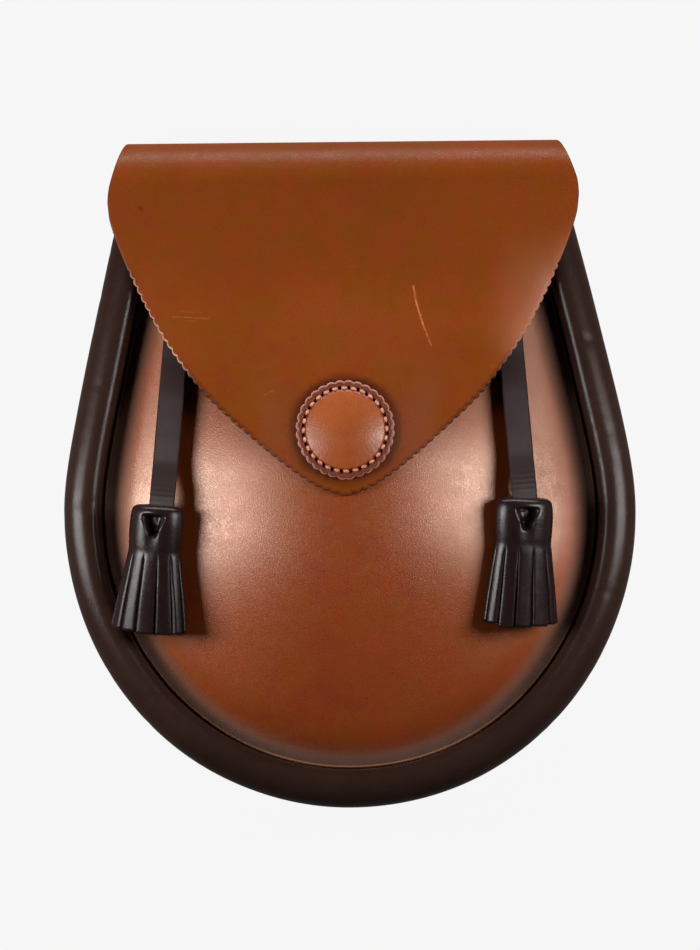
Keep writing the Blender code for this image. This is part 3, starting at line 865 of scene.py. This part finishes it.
def make_back_and_flap():
    """The back, the fold over the top and the flap, in one piece of leather."""
    fold_radius = (flap_height(0.0, FOLD_Y) - SHELL_THICKNESS / 2) / 2
    fold_length = math.pi * fold_radius
    front_start = FOLD_Y + fold_length
    back = right_edge(BACK_INSET, FOLD_Y, 160)
    fold_widths = [
        # share of the fold, half_width
        (0.0, back[-1, 0]),
        (0.5, FOLD_HALF_WIDTH),
        (1.0, float(flap_half_width(FOLD_Y))),
    ]
    share = np.linspace(0, 1, 31)[1:]
    fold = np.column_stack([smooth_curve(fold_widths, share), FOLD_Y + fold_length * share])
    y = np.linspace(FOLD_Y, FLAP_WIDEST_Y, 6)[1:-1]
    shoulder = np.column_stack([flap_half_width(y), front_start + FOLD_Y - y])
    teeth = pinked_edge()
    flap = np.column_stack([teeth[:, 0], front_start + FOLD_Y - teeth[:, 1]])
    right = np.vstack([back, fold, shoulder, flap])
    outline = np.vstack([right, right[-2:0:-1] * (-1, 1)])

    def form(x, v):
        """Where places of the flat pattern lie once it is bent."""
        on_back = np.column_stack([x, v, np.full(len(x), SHELL_THICKNESS / 2)])
        radius = (flap_height(x, np.full(len(x), FOLD_Y)) - SHELL_THICKNESS / 2) / 2
        angle = (v - FOLD_Y) / fold_radius
        fold_z = SHELL_THICKNESS / 2 + radius * (1 - np.cos(angle))
        on_fold = np.column_stack([x, FOLD_Y + (fold_radius - FOLD_TILT * x) * np.sin(angle), fold_z])
        y = front_start + FOLD_Y - v
        shifted = x + flap_middle_x(y)
        sag = SAG * unevenness(x, y, 0.050, 3) * falling(y, FOLD_Y, 0.020)
        on_flap = np.column_stack([shifted, y, flap_height(shifted, y) + sag - flap_curl(x, y)])
        bent = np.where((v < front_start)[:, None], on_fold, on_flap)
        return np.where((v <= FOLD_Y)[:, None], on_back, bent)

    sheet = Sheet(outline, form, SHELL_THICKNESS)
    sheet.rows((0.0010, 0.0016, 0.0024), front_start, 2)
    wide = BODY_HALF_WIDTH
    sheet.fill((-wide, BOTTOM_Y), (wide, FOLD_Y - 0.004), 0.0042)
    sheet.fill((-wide, FOLD_Y - 0.003), (wide, front_start + 0.004), 0.0014)
    sheet.fill((-wide, front_start + 0.0055), (wide, front_start + FOLD_Y - FLAP_TIP_Y), 0.0019)
    points, faces, groups, cut, edge = sheet.build()
    x, y, z = points.T
    # Painted shadow: a dark ring on the flap round the button, where the button's contact shadow falls.
    from_button = np.hypot(x - flap_middle_x(BUTTON_Y), y - BUTTON_Y) - BUTTON_RADIUS
    under_button = (z > FOLD_DEPTH) * ease(1 - np.abs(from_button) / 0.0028)
    front = z > FOLD_DEPTH / 2
    # Painted highlight: the cut edge on the flap's left side, and less on its right, is made pale where the
    # lamps catch it.
    side = np.maximum(0.9 * rising(-x, 0.038, 0.008), 0.5 * rising(x, 0.048, 0.006))
    painted_edge_glint = front * side * falling(y, 0.068, 0.010) * rising(y, 0.029, 0.010)
    # Dark lower edges: partly a burnished edge, partly painted shadow under the flap's edge.
    dark_edge = 0.8 * ease(1 - edge / 0.0014) * (1 - painted_edge_glint) * falling(y, 0.070, 0.010)
    burnish_and_shade = np.maximum(dark_edge, 0.9 * under_button) * (1 - cut)
    # Painted sheen on the flap's right side, strongest along its edge.
    right_side = front * rising(x, 0.040, 0.014) * rising(y, 0.030, 0.016) * falling(y, 0.080, 0.022)
    painted_sheen = right_side * (0.30 * np.exp(-edge / 0.0022) + 0.12 * ease(1 - edge / 0.026))
    marks = {"cut": cut, "burnish_and_shade": burnish_and_shade, "painted_edge_glint": painted_edge_glint, "painted_sheen": painted_sheen}
    dress("back_and_flap", points, faces, [tan_leather(), flesh_leather()], marks, groups)


def make_front_panel():
    """The domed front, up to its straight mouth edge under the flap."""
    right = right_edge(PANEL_INSET, MOUTH_Y, 260)
    top_x = np.linspace(right[-1, 0], -right[-1, 0], 100)[1:-1]
    top = np.column_stack([top_x, np.full(len(top_x), MOUTH_Y)])
    outline = np.vstack([right, top, right[:0:-1] * (-1, 1)])

    def form(x, y):
        share = np.sqrt(reach(x, y))
        lumps = LUMP_HEIGHT * unevenness(x, y, 0.055, 8) * ease((1 - share**2) / 0.3)
        groove = GROOVE_DEPTH * np.exp(-(((share - GROOVE_PLACE) / GROOVE_WIDTH) ** 2))
        return np.column_stack([x, y, panel_height(x, y) + lumps - groove])

    sheet = Sheet(outline, form, PANEL_THICKNESS)
    sheet.rows((0.0011, 0.0019, 0.0028, 0.0038, 0.0049, 0.0061))
    sheet.fill((-BODY_HALF_WIDTH, BOTTOM_Y), (BODY_HALF_WIDTH, MOUTH_Y), 0.0020)
    points, faces, groups, cut, edge = sheet.build()
    x, y = points[:, 0], points[:, 1]
    # Painted shade: a dark band along the panel's edge where the roll shades it, wider on the right, and a
    # dimmer strip right of the right strap where its highlight is weaker.
    more_on_right = 0.0026 * rising(x, 0.020, 0.020) * rising(y, -0.030, 0.030)
    band = 0.0092 + more_on_right - 0.0010 * rising(-x, 0.020, 0.020)
    right_strip = 0.24 * rising(x, 0.050, 0.006) * rising(y, -0.034, 0.030)
    burnish_and_shade = np.maximum(0.98 * ease(1.12 - edge / band), right_strip)
    marks = {"cut": cut * 0.6, "burnish_and_shade": burnish_and_shade}
    sides = [1 - group for group in groups]
    dress("front_panel", points, faces, [panel_leather(), flesh_leather()], marks, sides)


def strip_section(middle, thickness):
    """A closed section of a sheet of leather from the line of its middle, with rounded ends."""
    out = outward(middle)
    half = thickness / 2
    bulge = 0.7
    ends = []
    for i, sign in ((0, -1), (-1, 1)):
        along = np.array([-out[i, 1], out[i, 0]]) * sign
        angles = np.linspace(-60, 60, 3) * math.pi / 180 * sign
        ends.append([middle[i] + half * (along * math.cos(a) * bulge - out[i] * math.sin(a)) for a in angles])
    return np.vstack([middle + out * half, ends[1], (middle - out * half)[::-1], ends[0]])


def make_gusset():
    """The wall between back and roll, with a flange on the back and a welt that turns in under the panel."""
    edge, out = whole_edge(ROLL_RADIUS, ROLL_TOP_Y, 170)
    low = SHELL_THICKNESS + CLEARANCE + GUSSET_THICKNESS / 2
    grip = ROLL_RADIUS + CLEARANCE + GUSSET_THICKNESS / 2
    angles = np.radians(np.linspace(-96, -124, 5))
    rings, welts = [], []
    for (x, y), n, place in zip(edge, out, lengths_along(edge)):
        rim = float(rim_height(y))
        high = rim - ROLL_RADIUS - CLEARANCE
        crumple = CRUMPLE * math.sin(place * 160) * math.sin(place * 37)
        wall = [
            # bulge, share of the height
            (-0.0002, 0.06),
            (0.0007, 0.14),
            (GUSSET_BULGE * 0.66 + crumple / 2, 0.30),
            (GUSSET_BULGE + crumple, 0.52),
            (GUSSET_BULGE * 0.80 + crumple / 2, 0.72),
            (GUSSET_BULGE * 0.30, 0.90),
            (0.0, 1.0),
        ]
        line = [(FLANGE_REACH, low), (FLANGE_REACH / 2, low), (0.0004, low)]
        line += [(bulge, low + (high - low) * share) for bulge, share in wall]
        tuck = rim - PANEL_DROP - (PANEL_THICKNESS + GUSSET_THICKNESS) / 2 - CLEARANCE - WELT_DROP
        welt = [(grip * math.cos(a), rim + grip * math.sin(a)) for a in angles]
        welt += [(-grip + 0.0006, tuck), (-grip - 0.0030, tuck)]
        for middle, sections in ((line, rings), (welt, welts)):
            section = strip_section(np.array(middle), GUSSET_THICKNESS)
            sections.append([(x + n[0] * s, y + n[1] * s, z) for s, z in section])
    points, faces = joined([swept(rings), swept(welts)])
    dyes = srgb(74, 44, 30), srgb(46, 26, 18), srgb(92, 58, 42)
    made = dark_leather("gusset_grain", dyes, gloss=0.50, grain=0.0012, shine=0.4, relief=0.00007, coat=0.10)
    dress("gusset", points, faces, [made])


def make_edge_roll():
    """The padded roll: soft leather wrapped round a cord, with the small folds that it takes on the bends."""
    sides = 44
    steps = 330
    cap_steps = 6
    wave = 0.00006
    edge, out = whole_edge(ROLL_RADIUS, ROLL_TOP_Y, steps)
    around = lengths_along(edge)
    random = np.random.default_rng(11)
    folds = [
        # place along the roll, angle round it, depth, width along, width round
        (
            random.uniform(0, around[-1]),
            random.uniform(-20, 200),
            random.uniform(0.00003, 0.00009),
            0.0013,
            0.75,
        )
        for _ in range(40)
    ]
    folds += [
        (0.0985, 105, 0.00020, 0.0022, 0.8),
        (0.3960, 100, 0.00010, 0.0020, 0.9),
        (0.4250, 80, 0.00010, 0.0018, 0.8),
    ]
    radii = np.ones(len(edge))
    for i in range(cap_steps):
        share = math.cos(math.pi / 2 * (cap_steps - i) / cap_steps)
        radii[i] = radii[-1 - i] = max(0.25, math.sqrt(max(0.0, 1 - (1 - share) ** 2)))
    angle = np.linspace(0, 2 * math.pi, sides, endpoint=False)
    rings = []
    for (x, y), n, place, cap in zip(edge, out, around, radii):
        radius = np.full(sides, ROLL_RADIUS - wave)
        radius += wave * math.sin(place * 71) * np.sin(angle + place * 23)
        radius += wave / 2 * np.sin(2 * angle + place * 145)
        for where, turn, depth, width, spread in folds:
            if abs(place - where) < 4 * width:
                off = (angle - math.radians(turn) + math.pi) % (2 * math.pi) - math.pi
                slant = (place - where - 0.0008 * off) / width
                radius -= depth * np.exp(-(slant**2)) * np.exp(-((off / spread) ** 2))
        radius *= cap
        z = float(rim_height(y)) + radius * np.sin(angle)
        s = radius * np.cos(angle) - ROLL_LEAN * cap * np.maximum(0, np.sin(angle)) ** 2
        rings.append(np.column_stack([x + n[0] * s, y + n[1] * s, z]))
    points, faces = swept(rings)
    dyes = srgb(41, 26, 21), srgb(30, 18, 14), srgb(50, 33, 28)
    made = dark_leather("roll_grain", dyes, gloss=0.25, grain=0.0008, shine=0.115)
    roll = dress("edge_roll", points, faces, [made])


def make_button():
    """The round button: a scalloped leather disc over a padded dome, laced down in a ring of stitches."""
    sides = BUTTON_STITCHES * 16
    dome_edge = 0.80
    middle_x = flap_middle_x(BUTTON_Y)
    angle = np.linspace(0, 2 * math.pi, sides, endpoint=False)
    stitch = (angle * BUTTON_STITCHES / (2 * math.pi)) % 1 - 0.5
    scallop = np.abs(np.sin(angle * BUTTON_SCALLOPS / 2)) ** 0.8
    down = (angle + math.pi / 2 + math.pi) % (2 * math.pi) - math.pi
    tip = 0.0005 * np.exp(-((down / 0.11) ** 2))
    rim_profile = [
        # radius, height, cut: as shares of the button's radius and rim
        (0.500, 0.00, 0.0),
        (0.960, 0.00, 0.0),
        (0.990, 0.12, 1.0),
        (1.000, 0.45, 1.0),
        (0.992, 0.80, 1.0),
        (0.970, 0.98, 0.0),
        (0.945, 1.04, 0.0),
    ]
    rings, holes, cuts = [], [], []

    def add_ring(share, height, hole, cut):
        radius = share * BUTTON_RADIUS - SCALLOP_DEPTH * (1 - scallop) * share**6 + tip * share**8
        x = middle_x + radius * np.cos(angle)
        y = BUTTON_Y + radius * np.sin(angle)
        rings.append(np.column_stack([x, y, flap_top(x, y) + CLEARANCE + height]))
        holes.append(hole)
        cuts.append(np.full(sides, cut))

    for share, height, cut in rim_profile:
        add_ring(share, height * BUTTON_RIM, np.zeros(sides), cut)
    for share in np.linspace(0.93, 0.02, 56):
        dome = BUTTON_RIM + (BUTTON_CROWN - BUTTON_RIM) * max(0.0, 1 - (share / dome_edge) ** 2)
        step = 0.00035 * falling(share, 0.83, 0.05) * (1 - 0.35 * share)
        off_lace = share - LACE_PLACE
        channel = 0.00030 * np.exp(-((off_lace / 0.035) ** 2))
        hole = np.exp(-((off_lace / 0.034) ** 4)) * np.exp(-((stitch / 0.17) ** 4))
        add_ring(share, dome + step - channel - 0.0008 * hole, hole, 0.0)
    points, faces = swept(rings)
    holes = np.append(np.concatenate(holes), [0, 0])
    cuts = np.append(np.concatenate(cuts), [0, 0])
    centre = np.hypot(points[:, 0] - middle_x, points[:, 1] - BUTTON_Y) / BUTTON_RADIUS
    # The hole mark carries painted shade into the stitch holes, and the burnish mark darkens the rim outside
    # the stitches.
    marks = {"hole": ease(holes * 1.3), "cut": cuts, "burnish_and_shade": 0.9 * rising(centre, 0.77, 0.06)}
    dress("button", points, faces, [button_leather()], marks)

    lace = []
    half = math.pi / BUTTON_STITCHES * 0.62
    for turn in np.arange(BUTTON_STITCHES) * 2 * math.pi / BUTTON_STITCHES:
        ends = []
        for side, share in ((-1, LACE_PLACE - 0.012), (1, LACE_PLACE + 0.004)):
            radius = BUTTON_RADIUS * share
            x = middle_x + radius * math.cos(turn + side * half)
            y = BUTTON_Y + radius * math.sin(turn + side * half)
            ends.append((x, y, float(flap_top(x, y)) + CLEARANCE + BUTTON_RIM * 0.93))
        lace.append((*ends, LACE_THREAD))
    make_stitches("button_stitches", lace, thread("button_thread", srgb(206, 142, 118), srgb(150, 88, 64)))


def make_stitches(name, rows, material):
    """A joined mesh of short arched stitches, each from one place to another with a radius."""
    sides, steps = 8, 7
    turn = np.linspace(0, 2 * math.pi, sides, endpoint=False)
    stitches = []
    for start, end, radius in rows:
        start, end = np.array(start), np.array(end)
        run = end - start
        side = np.cross(run, (0, 0, 1))
        side = side / np.linalg.norm(side)
        up = np.cross(side, run / np.linalg.norm(run))
        rings = []
        for share in np.linspace(0, 1, steps):
            bow = math.sin(math.pi * share)
            thick = radius * max(0.25, bow**0.35)
            middle = start + run * share + up * radius * 0.9 * (bow - 0.4)
            rings.append(middle + np.outer(np.cos(turn), side) * thick + np.outer(np.sin(turn), up) * thick)
        stitches.append(swept(rings))
    points, faces = joined(stitches)
    make_piece(name, points, faces, [material])


def make_seam_stitches():
    """The plain row of stitches that holds the gusset's flange to the back."""
    edge, out = whole_edge(ROLL_RADIUS, ROLL_TOP_Y - 0.004, 200)
    path = edge + out * FLANGE_REACH * 0.52
    spaced = resample(path, round(lengths_along(path)[-1] / SEAM_PITCH))
    top = SHELL_THICKNESS + CLEARANCE + GUSSET_THICKNESS
    rows = []
    for a, b in zip(spaced, spaced[1:]):
        run = (b - a) / np.linalg.norm(b - a) * SEAM_GAP / 2
        rows.append(((*(a + run), top), (*(b - run), top), SEAM_THREAD))
    make_stitches("seam_stitches", rows, thread("seam_thread", srgb(120, 84, 60), srgb(80, 52, 36)))


def tassel_axes(side_x, lean):
    """Directions across a tassel, down it and out of its front."""
    across = np.array([math.cos(lean), math.sin(lean), 0])
    down = np.array([math.sin(lean), -math.cos(lean), 0])
    end_y = HEAD_TOP_Y - TASSEL_LENGTH
    fall = (panel_height(side_x, end_y) - panel_height(side_x, HEAD_TOP_Y)) / TASSEL_LENGTH - TASSEL_DROOP
    down = down + (0, 0, float(fall))
    down = down / np.linalg.norm(down)
    sideways, _ = slopes(panel_height, side_x, (HEAD_TOP_Y + end_y) / 2)
    across = across + (0, 0, float(sideways) / 2)
    across = across / np.linalg.norm(across)
    up = np.cross(across, -down)
    return across, down, up / np.linalg.norm(up)


def tassel_bundle(strips, size, start, end, slit_start, seed, dent, spread):
    """Rings of strips that hang from one head, in the tassel's own directions: across, along and up."""
    in_strip = 11
    random = np.random.default_rng(seed)
    lengths = random.uniform(-0.016, 0.012, strips)
    tilts = random.uniform(-0.00035, 0.00035, strips)
    drifts = random.uniform(-0.05, 0.05, strips)
    stations = [
        # along, share of the full width
        (start + 0.050, 0.50),
        (start + 0.012, 0.56),
        (start, 0.70),
        (start + 0.002, 0.88),
        (start + 0.008, 0.96),
    ]
    stations += [(a, 1.0) for a in np.linspace(start + 0.02, 0.36, 32 if dent else 3)]
    stations += [(a, 1.0) for a in np.linspace(0.375, end, 30)]
    last_outer = len(stations) - 1
    stations += [(end + 0.001, 0.93), (end - 0.002, 0.80), (end - 0.06, 0.70)]
    rings = []
    for index, (along, scale) in enumerate(stations):
        shape = np.clip(along, 0, 1)
        wide = HEAD_HALF_WIDTH * float(smooth_curve(TASSEL_SHAPE, shape, 1)) * scale * size
        wide *= spread[0] + (spread[1] - spread[0]) * float(rising(along, 0.25, 0.75))
        deep = HEAD_HALF_DEPTH * float(smooth_curve(TASSEL_SHAPE, shape, 2)) * scale * size
        slit_share = float(rising(along, slit_start, 0.03))
        gap = HEAD_GAP + (0.00006 + 0.00022 * float(rising(along, slit_start, 0.45))) * slit_share
        edge_room = gap / (wide + deep) * 2
        free = float(rising(along, slit_start, 0.4))
        end_share = max(0.0, (along - slit_start) / (end - slit_start))
        ring = []
        for k in range(strips):
            left = 2 * math.pi * (k - 0.5 + drifts[k] * free) / strips
            right = 2 * math.pi * (k + 0.5 + drifts[(k + 1) % strips] * free) / strips
            hang = 0.035 * (1 - math.cos(2 * math.pi * k / strips) ** 2) - 0.02
            reach_along = along + (lengths[k] + hang) * end_share
            for j in range(in_strip + 1):
                if j == in_strip:
                    theta, inward = right, SLIT_DEPTH * slit_share
                else:
                    t = 0.5 - 0.5 * math.cos(math.pi * j / (in_strip - 1))
                    theta = left + edge_room + (right - left - 2 * edge_room) * t
                    inward = 0.00026 * slit_share * abs(2 * t - 1) ** 8 - tilts[k] * (2 * t - 1) * free
                u = math.cos(theta) * (wide - inward)
                w = math.sin(theta) * (deep - inward)
                if dent and w > 0 and index <= last_outer:
                    w -= dent(u, along)
                ring.append((u, reach_along * TASSEL_LENGTH, w))
        rings.append(ring)
    return np.array(rings)


def head_dent(u, along):
    """The notch in the front of a tassel's head: wide at its top and pinched at its lower end."""
    down = (along - 0.06) / 0.19
    half = 0.0027 - 0.0016 * float(ease(down))
    inside = float(ease(1.5 - abs(u) / half))
    creased = float(falling(along, 0.44, 0.20) * rising(along, 0.14, 0.06))
    crease = 0.0006 * math.exp(-((u / 0.0022) ** 2)) * creased
    return 0.0044 * inside * float(ease(down * 7) * ease((1.02 - down) * 3)) + crease


def make_tassel(name, side_x, lean, material):
    """A tassel: a wrapped head that is slit into strips, over an inner bundle of more strips."""
    across, down, up = tassel_axes(side_x, lean)
    seed, spread, aside = TASSEL_LIES[name]
    bundles = [
        tassel_bundle(TASSEL_STRIPS, 1.0, 0.0, 1.0, 0.385, seed, head_dent, spread),
        tassel_bundle(INNER_STRIPS, INNER_SIZE, 0.30, 0.975, 0.40, 17, None, spread),
    ]
    top = np.array([side_x + aside, HEAD_TOP_Y, 0])
    placed = [top + b[..., :1] * across + b[..., 1:2] * down + b[..., 2:] * up for b in bundles]
    points, faces = joined(map(swept, placed))
    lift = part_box(f"tassel_{name}")[0].z - points[:, 2].min()
    points[:, 2] += lift
    dress(f"tassel_{name}", points, faces, [material])
    return np.array([side_x, HEAD_TOP_Y, lift]), down


def make_strap(name, top_x, head, down, material):
    """A strap that starts on the front panel, stands off it and goes into the head of its tassel."""
    start = np.array([top_x, STRAP_TOP_Y])
    end = np.array([head[0], head[1] + TASSEL_CLEARANCE])
    run = end - start
    length = np.linalg.norm(run)
    run = run / length
    across = np.array([-run[1], run[0]]) * STRAP_WIDTH / 2
    half_section = [
        # side, height
        (0.00, 1.03),
        (0.40, 1.02),
        (0.74, 1.00),
        (0.80, 0.98),
        (0.88, 1.00),
        (0.96, 0.93),
        (1.00, 0.70),
        (1.00, 0.30),
        (0.94, 0.04),
        (0.40, 0.00),
    ]
    section = half_section + [(-side, high) for side, high in half_section[:0:-1]]
    rings = []
    for place in np.linspace(0, length + STRAP_IN_HEAD, 150):
        on_strap = min(place, length)
        beyond = place - on_strap
        left = length - place
        middle = start + run * on_strap
        lift = CLEARANCE + STRAP_LIFT * ease(on_strap / STRAP_RISE)
        lift = lift + STRAP_FREE_LIFT * rising(on_strap, 0.026, 0.014)
        to_head = ease(1 - (length - on_strap) / STRAP_RISE)
        head_lift = head[2] - STRAP_THICKNESS / 2 - panel_top(*middle)
        lift = lift + (head_lift - lift) * to_head
        creased = falling(left, 0.0085, 0.002) * ease(left / 0.001)
        wrinkle = WRINKLE_HEIGHT * math.sin(left * 2 * math.pi / WRINKLE_PITCH) * creased
        sway = STRAP_SWAY * math.sin(place * 90 + top_x * 400)
        ring = []
        for side, high in section:
            p = middle + across * side + run * beyond
            z = float(panel_top(*(middle + across * side)) + lift) + down[2] * beyond
            z += STRAP_THICKNESS * high + (wrinkle if high > 0.9 else 0.0) + sway
            ring.append((p[0], p[1], z))
        rings.append(ring)
    points, faces = swept(rings)
    dress(f"strap_{name}", points, faces, [material])


def make_straps_and_tassels():
    tassel_dyes = srgb(28, 15, 15), srgb(18, 10, 10), srgb(36, 22, 21)
    strap_dyes = srgb(39, 27, 26), srgb(32, 21, 20), srgb(47, 33, 32)
    tassel_made = dark_leather("tassel_grain", tassel_dyes, gloss=0.27, grain=0.0008, shine=0.20)
    strap_made = dark_leather("strap_grain", strap_dyes, gloss=0.48, grain=0.0007, shine=0.10)
    for name, side_at_top, side_at_tassel, lean in STRAPS:
        side_x = BODY_HALF_WIDTH * side_at_tassel
        head, down = make_tassel(name, side_x, math.radians(lean), tassel_made)
        make_strap(name, BODY_HALF_WIDTH * side_at_top, head, down, strap_made)


# Studio

LENS = 350
SENSOR = 36
PICTURE_HEIGHT = 950
PIXEL = 0.000315
PHOTO_TURN = math.radians(-1.2)
FOCUS = Vector((0.00026, -0.00078, 0.022))
LEFT_LIGHT_TURN = math.radians(55)
RIGHT_LIGHT_TURN = math.radians(51)
RIGHT_LIGHT_UP = 0.05
BACK_LIGHT_TURN = math.radians(86)
LIGHT_AWAY = 0.32
BACK_LIGHT_AWAY = 0.35
LIGHT_SIZE = (0.09, 0.16)
LEFT_LIGHT_POWER = 1.25
RIGHT_LIGHT_POWER = 1.08
BACK_LIGHT_SIZE = (0.50, 0.07)
BACK_LIGHT_POWER = 1.6
ROOM_LIGHT = 0.025
FLOOR_HALF = 6.0
FLOOR_GLOW = 0.24
FLOOR_GLOW_IN_PICTURE = 0.912


def make_camera():
    """Straight above the front, as in the photograph, which is turned a little."""
    data = bpy.data.cameras.new("camera")
    data.lens = LENS
    data.sensor_width = SENSOR
    away = LENS * PICTURE_HEIGHT * PIXEL / SENSOR
    data.clip_end = 10 * away
    camera = bpy.data.objects.new("camera", data)
    camera.location = FOCUS + Vector((0, 0, away))
    camera.rotation_euler = (0, 0, PHOTO_TURN)
    bpy.context.scene.collection.objects.link(camera)
    bpy.context.scene.camera = camera


def make_light(name, direction, away, size, power):
    """A soft rectangular light that faces the middle of the pouch."""
    data = bpy.data.lights.new(name, "AREA")
    data.shape = "RECTANGLE"
    data.size, data.size_y = size
    data.energy = power
    light = bpy.data.objects.new(name, data)
    direction = Vector(direction).normalized()
    light.location = FOCUS + direction * away
    light.rotation_mode = "QUATERNION"
    light.rotation_quaternion = direction.to_track_quat("Z", "Y")
    bpy.context.scene.collection.objects.link(light)


def make_studio():
    """A soft light on each side, a faint one behind the fold, a dim room and a pale floor."""
    left, right, back = LEFT_LIGHT_TURN, RIGHT_LIGHT_TURN, BACK_LIGHT_TURN
    from_left = (-math.sin(left), 0.0, math.cos(left))
    from_right = (math.sin(right), RIGHT_LIGHT_UP, math.cos(right))
    from_back = (0, math.sin(back), math.cos(back))
    make_light("light_left", from_left, LIGHT_AWAY, LIGHT_SIZE, LEFT_LIGHT_POWER)
    make_light("light_right", from_right, LIGHT_AWAY, LIGHT_SIZE, RIGHT_LIGHT_POWER)
    make_light("light_back", from_back, BACK_LIGHT_AWAY, BACK_LIGHT_SIZE, BACK_LIGHT_POWER)
    world = bpy.data.worlds.new("studio")
    world.use_nodes = True
    tree = world.node_tree
    room = tree.nodes["Background"]
    room.inputs["Color"].default_value = (1, 1, 1, 1)
    room.inputs["Strength"].default_value = ROOM_LIGHT
    seen = tree.nodes.new("ShaderNodeBackground")
    seen.inputs["Color"].default_value = srgb(245, 245, 245)
    path = tree.nodes.new("ShaderNodeLightPath")
    choice = tree.nodes.new("ShaderNodeMixShader")
    tree.links.new(path.outputs["Is Camera Ray"], choice.inputs[0])
    tree.links.new(room.outputs[0], choice.inputs[1])
    tree.links.new(seen.outputs[0], choice.inputs[2])
    tree.links.new(choice.outputs[0], tree.nodes["World Output"].inputs["Surface"])
    bpy.context.scene.world = world
    bpy.context.scene.view_settings.view_transform = "Standard"

    mesh = bpy.data.meshes.new("floor")
    half = FLOOR_HALF
    corners = [(-half, -half, 0), (half, -half, 0), (half, half, 0), (-half, half, 0)]
    mesh.from_pydata(corners, [], [(0, 1, 2, 3)])
    paint = Finish("floor_paint")
    clouds = paint.span(paint.noise(0.8), 0.3, 0.7, 0.005, 0.006)
    in_picture = paint.add("ShaderNodeLightPath").outputs["Is Camera Ray"]
    paint.set(
        Base_Color=paint.blend(clouds, (0.0, 0.0, 0.0, 1), (1.0, 1.0, 1.0, 1)),
        Roughness=0.9,
        Specular_IOR_Level=0.1,
        Emission_Color=(1.0, 1.0, 1.0, 1),
        Emission_Strength=paint.span_linear(in_picture, 0, 1, FLOOR_GLOW, FLOOR_GLOW_IN_PICTURE),
    )
    mesh.materials.append(paint.material)
    floor = bpy.data.objects.new("floor", mesh)
    bpy.context.scene.collection.objects.link(floor)


def main():
    make_camera()
    make_studio()
    make_back_and_flap()
    make_front_panel()
    make_gusset()
    make_edge_roll()
    make_button()
    make_seam_stitches()
    make_straps_and_tassels()
    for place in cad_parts["snap_stud"].material_slots:
        place.material = brass()


main()
